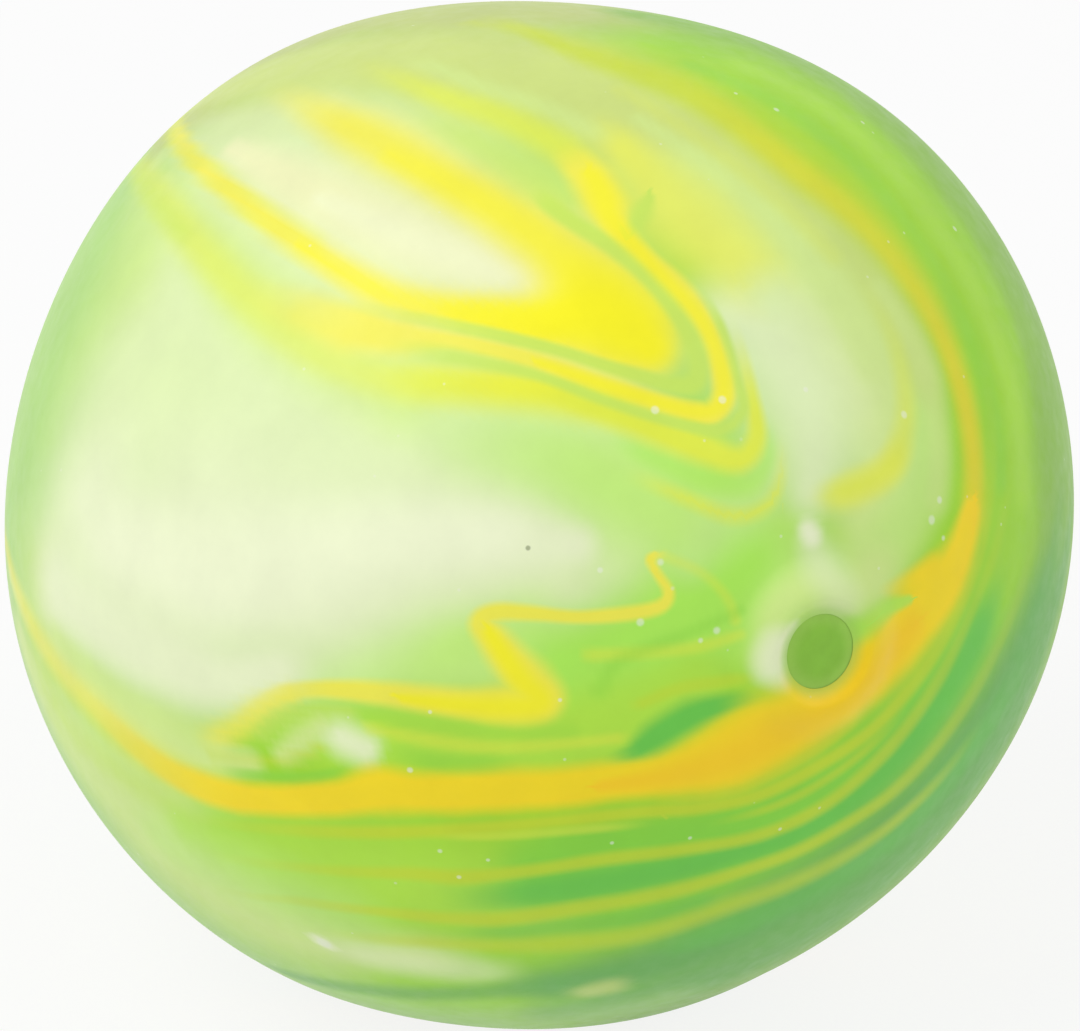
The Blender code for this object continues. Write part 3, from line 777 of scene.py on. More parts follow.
# Noise in the materials: cells per metre, detail and roughness.
EDGE_NOISE = (260.0, 3.0, 0.5)
CLOUD_NOISE = (190.0, 4.0, 0.6)
RUBBER_NOISE = (900.0, 3.0, 0.5)
RUBBER_GRAIN = (2600.0, 2.0, 0.5)
PLUG_NOISE = (2400.0, 2.0, 0.5)
PLUG_GRAIN = (5200.0, 2.0, 0.5)
WISP_NOISE = (130.0, 5.0, 0.6)
GEL_NOISE = (700.0, 2.0, 0.5)
GEL_GRAIN = (450.0, 3.0, 0.5)
BUBBLE_NOISE = (3000.0, 2.0, 0.5)
# The values between which noise goes from one end of a range to the other.
NOISE_SPAN = (0.3, 0.7)
WISP_SPAN = (0.35, 0.65)
BUBBLE_SPAN = (0.45, 0.7)
WHOLE = (0.0, 1.0)

# Ranges that noise is turned into: the waver of a stroke's edge in half widths, tones and roughnesses.
EDGE_WAVER = (-0.06, 0.06)
CLOUD_TONE = (0.965, 1.03)
PLUG_TONE = (0.95, 1.03)
RUBBER_ROUGH = (0.36, 0.46)
PLUG_ROUGH = (0.4, 0.52)
GEL_ROUGH = (0.16, 0.3)
GLUE_ROUGH = (0.08, 0.2)
# Tones of the gel between its wisps and of the glue between its bubbles.
GEL_SHADE = 0.86
GLUE_SHADE = 0.9

# Specks: the edge of one in its radii, dust in cells per metre, its edge in cells, tones and strengths.
SPECK_EDGE = (0.6, 1.3)
DUST_SCALE = 310.0
DUST_EDGE = (0.022, 0.04)
DUST_COVER = 0.7
PALE_TONE = (0.88, 0.92, 0.78, 1)
PALE_COVER = 0.5
DARK_TONE = (0.12, 0.16, 0.05, 1)
DARK_COVER = 0.6
# How much of the plug's edge colour shows on the lip and on the edge of the head.
LIP_COVER = 0.6
HEAD_COVER = 0.8

# The stage: floor in metres, its tone and how white it looks, and where the camera starts to see.
FLOOR_SIZE = 4
FLOOR_TONE = (0.88, 0.88, 0.88, 1)
FLOOR_GLOW = 0.86
WHITE = (1, 1, 1, 1)
CLIP_START = 0.01
# Lamps: metres right of the aim, above it and towards the camera, and the lamp's diameter.
LAMPS = {"key": ((-0.5, 0.5, 0.5), 0.8), "fill": ((0.55, 0.35, 0.3), 0.7)}


def port_of(sizes):
    """Radii and levels of the port and the plug, the levels from the ball's middle along the plug's axis."""
    port = SimpleNamespace(edge=sizes.edge)
    port.inner = RADIUS - sizes.wall
    port.seat = sizes.head / 2 + sizes.gap
    port.crest_radius = port.seat + sizes.lip_width
    port.lip_end = port.crest_radius + sizes.lip_spread
    port.bore = sizes.shank / 2 + sizes.gap
    port.neck = port.bore + sizes.neck_wall
    port.crest = math.sqrt(RADIUS**2 - port.crest_radius**2) + sizes.lip_height
    port.head_edge = port.crest - sizes.head_recess
    port.head_floor = port.head_edge - sizes.head_thickness
    port.glue_top = port.head_floor - sizes.gap
    port.glue_floor = port.glue_top - sizes.glue
    port.seat_floor = port.glue_floor - sizes.gap
    port.neck_end = port.inner - sizes.neck_length
    port.barb_top = port.neck_end - sizes.gap
    port.tip_end = port.barb_top - sizes.barb_length
    return port


def ball_of(sizes):
    """Half the ball's height before its foot is pressed flat, and its middle."""
    foot_share = 1 - math.sqrt(1 - (sizes.foot / (2 * RADIUS)) ** 2)
    half_height = (HEIGHT + sizes.foot_roll) / (2 - foot_share)
    return SimpleNamespace(half_height=half_height, middle=Vector((0, 0, HEIGHT - half_height)))


def shares(count):
    """Even steps from 0 to 1."""
    return [n / count for n in range(count + 1)]


def arc(centre, radius, start, end, count):
    """Points round an arc of a profile, its angles in degrees from the sideways axis."""
    angles = np.radians(np.linspace(start, end, count + 1))
    return [(centre[0] + radius * math.cos(a), centre[1] + radius * math.sin(a)) for a in angles]


def smooth_step(value, low, high):
    """0 below low, 1 above high, and an even S between them."""
    share = np.clip((value - low) / (high - low), 0, 1)
    return share * share * (3 - 2 * share)


def skin_profile(sizes):
    """Up the lining from the far pole, through the neck and the seat, over the lip and down the outside."""
    port = port_of(sizes)
    mouth = port.neck + sizes.neck_fillet
    mouth_angle = math.degrees(math.acos(mouth / port.inner))
    lining = arc((0, 0), port.inner, -90, mouth_angle, LINING_STEPS)
    fillet_middle = (mouth, lining[-1][1] - sizes.neck_fillet)
    fillet = arc(fillet_middle, sizes.neck_fillet, 90, 180, FILLET_STEPS)[1:]
    end = arc((port.neck - port.edge, port.neck_end + port.edge), port.edge, 0, -90, END_STEPS)
    bore = [(port.bore, port.neck_end), (port.bore, port.seat_floor), (port.seat, port.seat_floor)]
    under_lip = port.head_edge + sizes.lip_rest
    roll_width = port.crest_radius - sizes.lip_opening / 2
    roll_height = port.crest - under_lip
    lip = [(port.seat, under_lip)]
    for share in shares(LIP_STEPS):
        rise = (1 - math.cos(math.pi * share)) / 2
        lip.append((sizes.lip_opening / 2 + roll_width * share, under_lip + roll_height * rise))
    for share in shares(SPREAD_STEPS)[1:]:
        radius = port.crest_radius + sizes.lip_spread * share
        rise = sizes.lip_height * (1 + math.cos(math.pi * share)) / 2
        lip.append((radius, math.sqrt(RADIUS**2 - radius**2) + rise))
    lip_angle = math.degrees(math.acos(port.lip_end / RADIUS))
    outside = arc((0, 0), RADIUS, lip_angle, -90, sizes.rings)[1:]
    return lining + fillet + end + bore + lip + outside


def filling_profile(sizes):
    """The gel, with a pocket round the neck and the barb."""
    port = port_of(sizes)
    radius = port.inner - sizes.gap
    pocket = port.neck + sizes.neck_fillet + sizes.gap
    floor = port.tip_end - sizes.gap
    rim_angle = math.degrees(math.acos(pocket / radius))
    ball = arc((0, 0), radius, -90, rim_angle, GEL_STEPS)
    corner = arc((pocket - port.edge, floor + port.edge), port.edge, 0, -90, EDGE_STEPS)
    return ball + corner + [(0, floor)]


def plug_profile(sizes):
    """A crowned head, the shank through the neck, and the barb with its blunt tip."""
    port = port_of(sizes)
    head, shank, barb, tip = (d / 2 for d in (sizes.head, sizes.shank, sizes.barb, sizes.tip))
    round_off = sizes.head_thickness / 3
    crown = []
    for share in shares(CROWN_STEPS):
        crown.append(((head - round_off) * share, port.head_edge + sizes.head_crown * (1 - share * share)))
    rim = arc((head - round_off, port.head_edge - round_off), round_off, 90, 0, EDGE_STEPS)[1:]
    under = [(head, port.head_floor), (shank, port.head_floor), (shank, port.barb_top)]
    shoulder = arc((barb - port.edge, port.barb_top - port.edge), port.edge, 90, 0, EDGE_STEPS)
    end = arc((tip - round_off, port.tip_end + round_off), round_off, 0, -90, END_STEPS)
    return crown + rim + under + shoulder + end + [(0, port.tip_end)]


def glue_profile(sizes):
    """A thin ring under the head whose edges bulge a little, as squeezed glue does."""
    port = port_of(sizes)
    bulge = sizes.glue / 2
    level = port.glue_floor + bulge
    outer = arc((sizes.head / 2 - bulge, level), bulge, -90, 90, FILLET_STEPS)
    inner = arc((port.bore + bulge, level), bulge, 90, 270, FILLET_STEPS)
    return outer + inner


def turned(name, profile, steps, middle, ring=False):
    """A profile of (radius, level) points, drawn out from one vertex and spun about the plug's axis."""
    bpy.ops.object.select_all(action="DESELECT")
    places = [middle + SIDE_AXIS * radius + PORT_AXIS * level for radius, level in profile]
    bpy.ops.mesh.primitive_plane_add(size=SEED, location=places[0])
    piece = bpy.context.object
    piece.name = name
    piece.data.name = name
    bpy.ops.object.transform_apply(location=True)
    bpy.ops.object.mode_set(mode="EDIT")
    bpy.ops.mesh.select_all(action="SELECT")
    bpy.ops.mesh.merge(type="CENTER")
    route = places + places[:1] if ring else places
    for here, there in zip(route, route[1:]):
        bpy.ops.mesh.extrude_region_move(TRANSFORM_OT_translate={"value": there - here})
    bpy.ops.mesh.select_all(action="SELECT")
    bpy.ops.mesh.remove_doubles(threshold=WELD)
    bpy.ops.mesh.spin(steps=steps, angle=2 * math.pi, center=middle, axis=PORT_AXIS)
    bpy.ops.mesh.select_all(action="SELECT")
    bpy.ops.mesh.remove_doubles(threshold=WELD)
    bpy.ops.mesh.normals_make_consistent(inside=False)
    bpy.ops.object.mode_set(mode="OBJECT")
    bpy.ops.object.shade_smooth_by_angle(angle=CREASE)
    return piece


def vertices_of(piece):
    """A piece's vertices as rows of an array."""
    flat = np.empty(len(piece.data.vertices) * 3)
    piece.data.vertices.foreach_get("co", flat)
    return flat.reshape(-1, 3)


def put_vertices(piece, points):
    """Moves a piece's vertices to these rows."""
    piece.data.vertices.foreach_set("co", points.ravel())
    piece.data.update()


def off_port(points, sizes):
    """Points from the ball's middle, and how free each is of the port: 0 at its lip and 1 well away."""
    port = port_of(sizes)
    from_middle = points - np.array(ball_of(sizes).middle)
    along = from_middle @ np.array(PORT_AXIS)
    beside = np.linalg.norm(from_middle - np.outer(along, PORT_AXIS), axis=1)
    free = np.where(along > 0, smooth_step(beside, port.lip_end, PORT_CALM * port.lip_end), 1)
    return from_middle, free


def settle(piece, sizes):
    """Lets a turned piece sag on the table as the frame does: its sides sink and its foot goes flat."""
    ball = ball_of(sizes)
    points = vertices_of(piece)
    from_middle, free = off_port(points, sizes)
    sunk = from_middle[:, 2] * (1 + free * (ball.half_height / RADIUS - 1))
    depth = np.maximum(0, RADIUS - np.linalg.norm(from_middle, axis=1))
    height = ball.middle.z + sunk - depth
    rolled = (np.maximum(height, -sizes.foot_roll) + sizes.foot_roll) ** 2 / (4 * sizes.foot_roll)
    points[:, 2] = depth + np.where(height < sizes.foot_roll, rolled, height)
    put_vertices(piece, points)


def make_lumpy(piece, sizes, view):
    """Gives a settled piece the shallow lumps and hollows of the outline, none at the port or the foot."""
    right, up, _ = (np.array(axis) for axis in view_axes(view))
    points = vertices_of(piece)
    from_middle, free = off_port(points, sizes)
    free *= smooth_step(points[:, 2], sizes.foot_roll, FOOT_CALM * sizes.foot_roll)
    out = from_middle / np.maximum(np.linalg.norm(from_middle, axis=1), sizes.edge)[:, None]
    rise = np.zeros(len(points))
    for angle, height in LUMPS:
        way = right * math.cos(math.radians(angle)) + up * math.sin(math.radians(angle))
        turn = np.degrees(np.arccos(np.clip(out @ way, -1, 1)))
        rise += height * np.exp(-((turn / LUMP_SPREAD) ** 2) / 2)
    put_vertices(piece, points + out * (rise * free)[:, None])


def view_axes(view):
    """Right, up and back of the camera."""
    a, e = view.azimuth, view.elevation
    back = Vector((math.sin(a) * math.cos(e), -math.cos(a) * math.cos(e), math.sin(e)))
    right = Vector((math.cos(a), math.sin(a), 0))
    return right, back.cross(right), back


def ball_scale(sizes):
    """What turns the ball into a sphere of radius 1."""
    return np.array([1 / RADIUS, 1 / RADIUS, 1 / ball_of(sizes).half_height])


def on_ball(points, sizes):
    """These points, moved straight out or in to the ball's surface."""
    middle, scale = np.array(ball_of(sizes).middle), ball_scale(sizes)
    ways = (points - middle) * scale
    return middle + ways / np.linalg.norm(ways, axis=1)[:, None] / scale


def under_pixels(pixels, view, sizes):
    """Points of the ball under pixels of the photograph, on its outline where a pixel misses it."""
    right, up, back = (np.array(axis) for axis in view_axes(view))
    middle, scale = np.array(ball_of(sizes).middle), ball_scale(sizes)
    focus = view.lens / SENSOR_WIDTH * PHOTO_WIDTH
    across = (np.array([p[0] for p in pixels]) - PHOTO_WIDTH / 2) / focus
    down = (np.array([p[1] for p in pixels]) - PHOTO_HEIGHT / 2) / focus
    ways = (np.outer(across, right) - np.outer(down, up) - back) * scale
    start = (np.array(view.aim) + back * view.distance - middle) * scale
    square = (ways * ways).sum(1)
    half = ways @ start
    root = np.sqrt(np.maximum(0, half * half - square * (start @ start - 1)))
    return on_ball(middle + (start - ways * ((half + root) / square)[:, None]) / scale, sizes)


def smoothed(points, values, between=6):
    """A Catmull-Rom curve through points, with the values that go with them."""
    ends = np.vstack([2 * points[0] - points[1], points, 2 * points[-1] - points[-2]])
    t = (np.arange(between) / between)[:, None]
    before = -t / 2 + t**2 - t**3 / 2
    here = 1 - 2.5 * t**2 + 1.5 * t**3
    there = t / 2 + 2 * t**2 - 1.5 * t**3
    after = t**3 / 2 - t**2 / 2
    weights = np.hstack([before, here, there, after])
    runs = [weights @ ends[n : n + 4] for n in range(len(points) - 1)]
    steps = np.arange(len(points) * between - between + 1) / between
    return np.vstack(runs + [points[-1:]]), np.interp(steps, np.arange(len(points)), values)


def laid(stroke, view, sizes):
    """A stroke's route on the ball and its half widths there, so that it looks as wide as it is written."""
    widths = np.array([p[2] for p in stroke.points]) * PIXEL
    route, wide = smoothed(under_pixels(stroke.points, view, sizes), widths)
    route = on_ball(route, sizes)
    out = (route - np.array(ball_of(sizes).middle)) * ball_scale(sizes) ** 2
    across = np.cross(out, np.gradient(route, axis=0))
    across /= np.linalg.norm(across, axis=1)[:, None]
    shown = np.sqrt(np.maximum(0, 1 - (across @ np.array(view_axes(view)[2])) ** 2))
    return route, wide / np.maximum(shown, LEAST_SHOWN)


def wound(swirl, view, sizes):
    """A swirl's route on the ball and its half widths there."""
    turns = np.linspace(swirl.start, swirl.end, round((swirl.end - swirl.start) * SWIRL_STEPS))
    angle = 2 * np.pi * turns
    size = np.minimum(SWIRL_PITCH * turns + swirl.offset, SWIRL_EDGE)
    reach = size * (1 + SWIRL_BEND * (1 - size) * np.cos(2 * angle + SWIRL_BEND_TURN))
    across = reach * np.cos(angle) + SWIRL_MIDDLE[0] * (1 - size)
    rise = reach * np.sin(angle) + SWIRL_MIDDLE[1] * (1 - size)
    calm = np.clip(1 - across**2 - rise**2, 0, 1)
    for height, rate, phase in SWIRL_WAVES:
        across = across + calm * height * np.sin(rate * rise + phase)
        rise = rise + calm * height * np.cos(rate * across + phase)
    far = np.hypot(across, rise)
    right, up, back = (np.array(axis) for axis in view_axes(view))
    outward = np.sin(far * np.pi / 2) / far
    ways = np.outer(across * outward, right) + np.outer(rise * outward, up)
    ways = ways - np.outer(np.cos(far * np.pi / 2), back)
    wide = swirl.width * (1 + SWELL * np.sin(SWELL_RATE * angle + SWELL_SHIFT * swirl.offset))
    return on_ball(np.array(ball_of(sizes).middle) + ways * RADIUS, sizes), wide


def from_stroke(points, route, widths, reach, least, middle):
    """How far points lie from a stroke in half widths, with the side as sign, the half width there and the
    lengths to the stroke's two ends."""
    signed = np.full(len(points), FAR_AWAY)
    width = np.full(len(points), widths.max())
    along = np.zeros(len(points))
    starts = np.concatenate([[0], np.cumsum(np.linalg.norm(np.diff(route, axis=0), axis=1))])
    room = max(widths.max() * reach, least)
    inside = (points > route.min(0) - room).all(1) & (points < route.max(0) + room).all(1)
    near = np.nonzero(inside)[0]
    for a, b, wide_a, wide_b, start in zip(route, route[1:], widths, widths[1:], starts):
        run = b - a
        centre = (a + b) / 2
        limit = np.linalg.norm(run) / 2 + max(max(wide_a, wide_b) * reach, least)
        close = near[((points[near] - centre) ** 2).sum(1) < limit**2]
        ways = points[close] - a
        share = np.clip(ways @ run / (run @ run), 0, 1)
        wide = wide_a + (wide_b - wide_a) * share
        away = np.linalg.norm(ways - np.outer(share, run), axis=1) / wide
        side = np.where(ways @ np.cross(centre - middle, run) < 0, -1, 1)
        better = away < np.abs(signed[close])
        signed[close[better]] = (away * side)[better]
        width[close[better]] = wide[better]
        along[close[better]] = (start + share * np.linalg.norm(run))[better]
    return signed, width, along, starts[-1] - along


def thinned(stroke, from_start, to_end):
    """How much of its dye a stroke still lays, which thins out towards its ends."""
    left = np.full(len(from_start), float(stroke.strength))
    for length_to_end, fade in zip((from_start, to_end), stroke.fade):
        if fade:
            left *= smooth_step(length_to_end, 0, fade * PIXEL)
    return left


def linear(colour):
    """A colour as light, from its screen values, by the usual curve of screens."""
    value = np.array(colour)
    return np.where(value <= 0.04045, value / 12.92, ((value + 0.055) / 1.055) ** 2.4)


def light_of(colour, shade=1):
    """A colour as a socket takes it, darkened to this share."""
    return (*(linear(colour) * shade), 1)


def put_attribute(piece, name, kind, values):
    """Writes one row of values per vertex."""
    made = piece.data.attributes.new(name, kind, "POINT")
    made.data.foreach_set("color" if kind == "FLOAT_COLOR" else "vector", values.ravel().astype(np.float32))


def paint(skin, sizes, colours, view):
    """Lays the strokes: broad ones mixed into one ground, crisp ones as coats that the material draws."""
    points = vertices_of(skin)
    middle = np.array(ball_of(sizes).middle)
    ground = np.ones((len(points), 4))
    ground[:, :3] = linear(getattr(colours, BASE_DYE))
    coats = {coat: (np.zeros((len(points), 4)), np.full((len(points), 3), FAR_AWAY)) for coat in COATS}
    for stroke in (SWIRLS | MARBLING).values():
        lay = wound if isinstance(stroke, Swirl) else laid
        route, widths = lay(stroke, view, sizes)
        colour = linear(getattr(colours, stroke.colour))
        if stroke.coat == "ground":
            away, _, from_start, to_end = from_stroke(points, route, widths, 1 + stroke.soft, 0, middle)
            cover = 1 - smooth_step(np.abs(away), 1 - stroke.soft, 1 + stroke.soft)
            cover *= thinned(stroke, from_start, to_end)
            ground[:, :3] += cover[:, None] * (colour - ground[:, :3])
            continue
        tint, edge = coats[stroke.coat]
        away, width, from_start, to_end = from_stroke(points, route, widths, COAT_REACH, COAT_ROOM, middle)
        nearer = np.abs(away) < np.abs(edge[:, 0])
        tint[nearer, :3] = colour
        tint[nearer, 3] = thinned(stroke, from_start, to_end)[nearer]
        edge[nearer, 0] = away[nearer]
        edge[nearer, 1] = np.abs(away[nearer]) - FACET_ROOM / width[nearer]
        edge[nearer, 2] = stroke.soft
    put_attribute(skin, "rest", "FLOAT_VECTOR", points)
    put_attribute(skin, "ground", "FLOAT_COLOR", ground)
    for coat, (tint, edge) in coats.items():
        put_attribute(skin, coat + "_tint", "FLOAT_COLOR", tint)
        put_attribute(skin, coat + "_edge", "FLOAT_VECTOR", edge)


def put_sockets(tree, made, sockets):
    """Sets a node's sockets, or links those that another node's socket is given for."""
    for name, value in sockets.items():
        if isinstance(value, bpy.types.NodeSocket):
            tree.links.new(value, made.inputs[name])
        else:
            made.inputs[name].default_value = value


def node(tree, kind, sockets=None, **settings):
    """A new node of this kind, with its settings made and its sockets set or linked."""
    made = tree.nodes.new("ShaderNode" + kind)
    for name, value in settings.items():
        setattr(made, name, value)
    put_sockets(tree, made, sockets or {})
    return made


def worked(tree, operation, first, second=0.0, clamp=False):
    """The result of one sum."""
    return node(tree, "Math", {0: first, 1: second}, operation=operation, use_clamp=clamp).outputs[0]


def placed(tree, operation, first, second, result="Value"):
    """The result of one sum with places."""
    return node(tree, "VectorMath", {0: first, 1: second}, operation=operation).outputs[result]


def ranged(tree, value, span, to, smooth=False):
    """A value moved from one range to another."""
    sockets = {"Value": value, "From Min": span[0], "From Max": span[1], "To Min": to[0], "To Max": to[1]}
    kind = "SMOOTHSTEP" if smooth else "LINEAR"
    return node(tree, "MapRange", sockets, interpolation_type=kind).outputs["Result"]


def mixed(tree, share, first, second, blend="MIX"):
    """Two colours mixed."""
    sockets = {0: share, 6: first, 7: second}
    return node(tree, "Mix", sockets, data_type="RGBA", blend_type=blend).outputs[2]


def noise(tree, place, kind):
    """Noise of this kind at these places."""
    scale, detail, roughness = kind
    sockets = {"Vector": place, "Scale": scale, "Detail": detail, "Roughness": roughness}
    return node(tree, "TexNoise", sockets).outputs["Fac"]


def varied(tree, place, kind, to):
    """A value that noise of this kind carries from one end of a range to the other."""
    return ranged(tree, noise(tree, place, kind), NOISE_SPAN, to)


def started_material(name, place_attribute=None):
    """A new material, its tree, its main shader and its places: the object's own, or an attribute's."""
    made = bpy.data.materials.new(name)
    made.use_nodes = True
    tree = made.node_tree
    if place_attribute:
        place = node(tree, "Attribute", attribute_name=place_attribute).outputs["Vector"]
    else:
        place = node(tree, "TexCoord").outputs["Object"]
    return made, tree, tree.nodes["Principled BSDF"], place


def relief(tree, height, strength, distance):
    """Fine relief from a height."""
    sockets = {"Height": height, "Strength": strength, "Distance": distance}
    return node(tree, "Bump", sockets).outputs["Normal"]


def coated(tree, colour, coat, waver):
    """A colour with one coat of strokes over it, each with its own soft edge."""
    tint = node(tree, "Attribute", attribute_name=coat + "_tint")
    edge = node(tree, "Attribute", attribute_name=coat + "_edge")
    parts = node(tree, "SeparateXYZ", {0: edge.outputs["Vector"]})
    away = worked(tree, "ABSOLUTE", parts.outputs["X"])
    away = worked(tree, "MAXIMUM", away, parts.outputs["Y"])
    away = worked(tree, "ADD", away, waver)
    past = worked(tree, "DIVIDE", worked(tree, "SUBTRACT", away, 1.0), parts.outputs["Z"])
    cover = ranged(tree, past, (-1.0, 1.0), (1.0, 0.0), smooth=True)
    cover = worked(tree, "MULTIPLY", cover, tint.outputs["Alpha"])
    return mixed(tree, cover, colour, tint.outputs["Color"])


def specked(tree, place, specks, view, sizes):
    """1 on these specks, 0 beside them."""
    nearest = FAR_AWAY
    for spot, (_, _, radius) in zip(under_pixels(specks, view, sizes), specks):
        away = worked(tree, "DIVIDE", placed(tree, "DISTANCE", place, tuple(spot)), radius * PIXEL)
        nearest = worked(tree, "MINIMUM", away, nearest)
    return ranged(tree, nearest, SPECK_EDGE, (1.0, 0.0), smooth=True)


def marbled_rubber(sizes, colours, view):
    """Satin rubber with the marbling, cloudy inside each dye, and small pale specks."""
    made, tree, shader, place = started_material("marbled_rubber", "rest")
    colour = node(tree, "Attribute", attribute_name="ground").outputs["Color"]
    waver = varied(tree, place, EDGE_NOISE, EDGE_WAVER)
    for coat in COATS:
        colour = coated(tree, colour, coat, waver)
    colour = mixed(tree, 1.0, colour, varied(tree, place, CLOUD_NOISE, CLOUD_TONE), "MULTIPLY")
    dust = node(tree, "TexVoronoi", {"Vector": place, "Scale": DUST_SCALE}).outputs["Distance"]
    dust = ranged(tree, dust, DUST_EDGE, (DUST_COVER, 0.0), smooth=True)
    pale = worked(tree, "MAXIMUM", dust, specked(tree, place, PALE_SPECKS, view, sizes))
    colour = mixed(tree, worked(tree, "MULTIPLY", pale, PALE_COVER), colour, PALE_TONE)
    dark = specked(tree, place, DARK_SPECKS, view, sizes)
    colour = mixed(tree, worked(tree, "MULTIPLY", dark, DARK_COVER), colour, DARK_TONE)
    head = ball_of(sizes).middle + PORT_AXIS * port_of(sizes).head_edge
    opening = sizes.lip_opening / 2
    lip = (opening, opening + sizes.lip_tint)
    tint = ranged(tree, placed(tree, "DISTANCE", place, head), lip, (LIP_COVER, 0.0), smooth=True)
    sockets = {
        "Base Color": mixed(tree, tint, colour, light_of(colours.plug_edge)),
        "Roughness": varied(tree, place, RUBBER_NOISE, RUBBER_ROUGH),
        "Specular IOR Level": 0.42,
        "Normal": relief(tree, noise(tree, place, RUBBER_GRAIN), strength=0.06, distance=0.0001),
    }
    put_sockets(tree, shader, sockets)
    return made


def green_rubber(sizes, colours):
    """Satin green rubber of the plug, paler towards the edge of its head."""
    made, tree, shader, place = started_material("green_rubber")
    from_middle = placed(tree, "SUBTRACT", place, ball_of(sizes).middle, "Vector")
    across = placed(tree, "CROSS_PRODUCT", from_middle, PORT_AXIS, "Vector")
    from_axis = node(tree, "VectorMath", {0: across}, operation="LENGTH").outputs["Value"]
    head = (sizes.head / 4, sizes.lip_opening / 2)
    edge = ranged(tree, from_axis, head, (0.0, HEAD_COVER), smooth=True)
    colour = mixed(tree, edge, light_of(colours.plug), light_of(colours.plug_edge))
    sockets = {
        "Base Color": mixed(tree, 1.0, colour, varied(tree, place, RUBBER_NOISE, PLUG_TONE), "MULTIPLY"),
        "Roughness": varied(tree, place, PLUG_NOISE, PLUG_ROUGH),
        "Specular IOR Level": 0.3,
        "Normal": relief(tree, noise(tree, place, PLUG_GRAIN), strength=0.08, distance=0.0001),
    }
    put_sockets(tree, shader, sockets)
    return made


def pale_gel(colours):
    """Cloudy gel with paler wisps."""
    made, tree, shader, place = started_material("pale_gel")
    wisp = ranged(tree, noise(tree, place, WISP_NOISE), WISP_SPAN, WHOLE, smooth=True)
    sockets = {
        "Base Color": mixed(tree, wisp, light_of(colours.gel, GEL_SHADE), light_of(colours.gel)),
        "Roughness": varied(tree, place, GEL_NOISE, GEL_ROUGH),
        "Subsurface Weight": 0.3,
        "Subsurface Scale": 0.004,
        "Normal": relief(tree, noise(tree, place, GEL_GRAIN), strength=0.1, distance=0.0002),
    }
    put_sockets(tree, shader, sockets)
    return made


def set_glue(colours):
    """Clear glossy glue with fine bubbles."""
    made, tree, shader, place = started_material("set_glue")
    bubble = ranged(tree, noise(tree, place, BUBBLE_NOISE), BUBBLE_SPAN, WHOLE)
    clear = light_of(colours.set_glue)
    sockets = {
        "Base Color": mixed(tree, bubble, light_of(colours.set_glue, GLUE_SHADE), clear),
        "Roughness": ranged(tree, bubble, WHOLE, GLUE_ROUGH),
        "Transmission Weight": 0.4,
        "Normal": relief(tree, bubble, strength=0.1, distance=0.0001),
    }
    put_sockets(tree, shader, sockets)
    return made


def seen_directly(tree):
    """1 for rays from the camera, also by way of gloss or glass, and 0 for rays that carry light."""
    path = node(tree, "LightPath")
    direct = worked(tree, "ADD", path.outputs["Is Camera Ray"], path.outputs["Is Glossy Ray"])
    return worked(tree, "ADD", direct, path.outputs["Is Transmission Ray"], clamp=True)


def floor_material():
    """Pale floor that looks white and keeps the ball's shadow."""
    made = bpy.data.materials.new("floor")
    made.use_nodes = True
    tree = made.node_tree
    tree.nodes.remove(tree.nodes["Principled BSDF"])
    matt = node(tree, "BsdfDiffuse", {"Color": FLOOR_TONE})
    glow = node(tree, "Emission", {"Color": WHITE, "Strength": 1.0})
    share = worked(tree, "MULTIPLY", seen_directly(tree), FLOOR_GLOW)
    both = node(tree, "MixShader", {0: share, 1: matt.outputs[0], 2: glow.outputs[0]})
    tree.links.new(both.outputs[0], tree.nodes["Material Output"].inputs["Surface"])
    return made


def studio_world(room_light):
    """An even white room that also shows as white."""
    made = bpy.data.worlds.new("studio")
    made.use_nodes = True
    tree = made.node_tree
    room = tree.nodes["Background"]
    put_sockets(tree, room, {"Color": WHITE, "Strength": room_light})
    white = node(tree, "Background", {"Color": WHITE, "Strength": 1.0})
    both = node(tree, "MixShader", {0: seen_directly(tree), 1: room.outputs[0], 2: white.outputs[0]})
    tree.links.new(both.outputs[0], tree.nodes["World Output"].inputs["Surface"])
    return made


def put_lamp(context, name, power):
    """One of the round soft lamps, which points at the aim."""
    view = context.scene.ball_view
    right, up, back = view_axes(view)
    aim = Vector(view.aim)
    (sideways, above, towards), size = LAMPS[name]
    place = aim + right * sideways + up * above + back * towards
    light = bpy.data.lights.new(name, "AREA")
    light.shape = "DISK"
    light.size = size
    light.energy = power
    made = bpy.data.objects.new(name, light)
    made.location = place
    made.rotation_euler = (aim - place).to_track_quat("-Z", "Y").to_euler()
    context.scene.collection.objects.link(made)


def press_with_plug(piece, sizes):
    """Bakes a soft piece's placement into its vertices; nothing in it gives way to the plug yet."""
    port = port_of(sizes)
    middle = ball_of(sizes).middle
    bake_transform(piece)


class BALL_OT_skin(bpy.types.Operator):
    """Makes the marbled skin with its fill port"""

    bl_idname = "ball.skin"
    bl_label = "Skin"

    def execute(self, context):
        scene = context.scene
        sizes, colours, view = scene.ball_sizes, scene.ball_colours, scene.ball_view
        skin = turned("skin_shell", skin_profile(sizes), sizes.facets, ball_of(sizes).middle)
        settle(skin, sizes)
        paint(skin, sizes, colours, view)
        make_lumpy(skin, sizes, view)
        skin.data.materials.append(marbled_rubber(sizes, colours, view))
        press_with_plug(skin, sizes)
        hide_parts("skin")
        return {"FINISHED"}


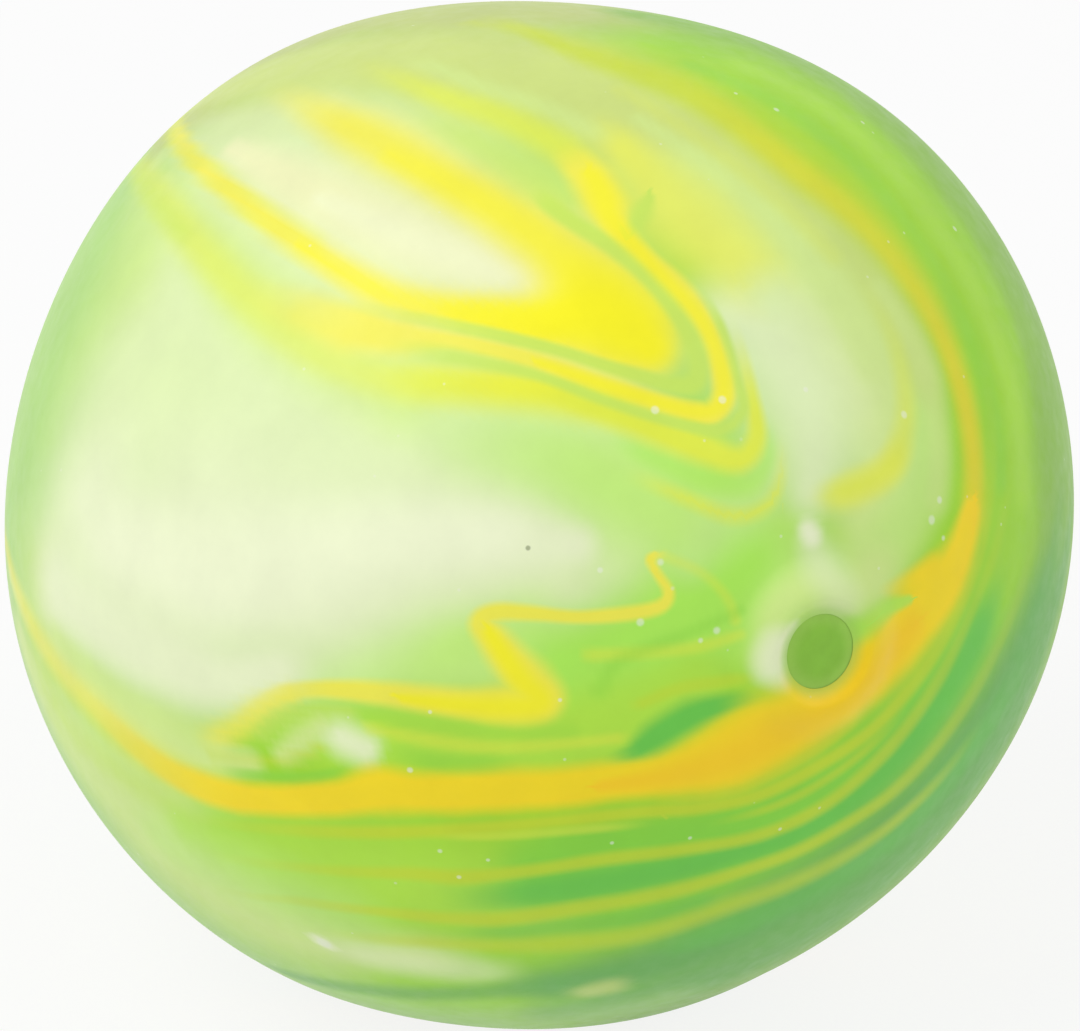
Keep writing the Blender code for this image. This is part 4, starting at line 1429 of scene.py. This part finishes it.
class BALL_OT_filling(bpy.types.Operator):
    """Makes the gel that fills the skin"""

    bl_idname = "ball.filling"
    bl_label = "Filling"

    def execute(self, context):
        sizes = context.scene.ball_sizes
        filling = turned("gel_filling", filling_profile(sizes), sizes.gel_facets, ball_of(sizes).middle)
        settle(filling, sizes)
        make_lumpy(filling, sizes, context.scene.ball_view)
        filling.data.materials.append(pale_gel(context.scene.ball_colours))
        press_with_plug(filling, sizes)
        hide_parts("filling")
        return {"FINISHED"}


class BALL_OT_plug(bpy.types.Operator):
    """Makes the barbed plug that closes the port"""

    bl_idname = "ball.plug"
    bl_label = "Plug"

    def execute(self, context):
        sizes = context.scene.ball_sizes
        plug = turned("barbed_plug", plug_profile(sizes), sizes.plug_facets, ball_of(sizes).middle)
        plug.data.materials.append(green_rubber(sizes, context.scene.ball_colours))
        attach(plug, "plug")
        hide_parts("fill_plug")
        return {"FINISHED"}


class BALL_OT_glue(bpy.types.Operator):
    """Makes the ring of set glue under the plug's head"""

    bl_idname = "ball.glue"
    bl_label = "Glue"

    def execute(self, context):
        sizes = context.scene.ball_sizes
        ring = turned("glue_ring", glue_profile(sizes), sizes.plug_facets, ball_of(sizes).middle, ring=True)
        ring.data.materials.append(set_glue(context.scene.ball_colours))
        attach(ring, "plug")
        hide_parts("plug_glue")
        return {"FINISHED"}


class BALL_OT_stage(bpy.types.Operator):
    """Makes the floor, the lamps and the camera"""

    bl_idname = "ball.stage"
    bl_label = "Stage"

    def execute(self, context):
        scene, view = context.scene, context.scene.ball_view
        back = view_axes(view)[2]
        camera = bpy.data.objects.new("camera", bpy.data.cameras.new("camera"))
        scene.collection.objects.link(camera)
        camera.location = Vector(view.aim) + back * view.distance
        camera.rotation_euler = (-back).to_track_quat("-Z", "Y").to_euler()
        camera.data.sensor_width = SENSOR_WIDTH
        camera.data.lens = view.lens
        camera.data.clip_start = CLIP_START
        scene.camera = camera
        bpy.ops.object.select_all(action="DESELECT")
        bpy.ops.mesh.primitive_plane_add(size=FLOOR_SIZE)
        floor = context.object
        floor.name = "floor"
        floor.data.materials.append(floor_material())
        put_lamp(context, "key", view.key_power)
        put_lamp(context, "fill", view.fill_power)
        scene.world = studio_world(view.room_light)
        scene.view_settings.view_transform = "Standard"
        return {"FINISHED"}


class BALL_PT_sidebar(bpy.types.Panel):
    """Buttons for the pieces and the stage"""

    bl_label = "Marbled ball"
    bl_idname = "BALL_PT_sidebar"
    bl_space_type = "VIEW_3D"
    bl_region_type = "UI"
    bl_category = "Ball"

    def draw(self, context):
        for operator in OPERATORS:
            self.layout.operator(operator.bl_idname)
        for group in (context.scene.ball_sizes, context.scene.ball_colours, context.scene.ball_view):
            box = self.layout.box()
            for name in group.__annotations__:
                box.prop(group, name)


GROUPS = {"ball_sizes": BallSizes, "ball_colours": BallColours, "ball_view": BallView}
OPERATORS = (BALL_OT_skin, BALL_OT_filling, BALL_OT_plug, BALL_OT_glue, BALL_OT_stage)


def register():
    for item in (*GROUPS.values(), *OPERATORS, BALL_PT_sidebar):
        bpy.utils.register_class(item)
    for name, group in GROUPS.items():
        setattr(bpy.types.Scene, name, PointerProperty(type=group))


def unregister():
    for name in GROUPS:
        delattr(bpy.types.Scene, name)
    for item in (BALL_PT_sidebar, *reversed(OPERATORS), *GROUPS.values()):
        bpy.utils.unregister_class(item)


def main():
    register()
    bpy.ops.ball.skin()
    bpy.ops.ball.filling()
    bpy.ops.ball.plug()
    bpy.ops.ball.glue()
    bpy.ops.ball.stage()


if __name__ == "__main__":
    main()
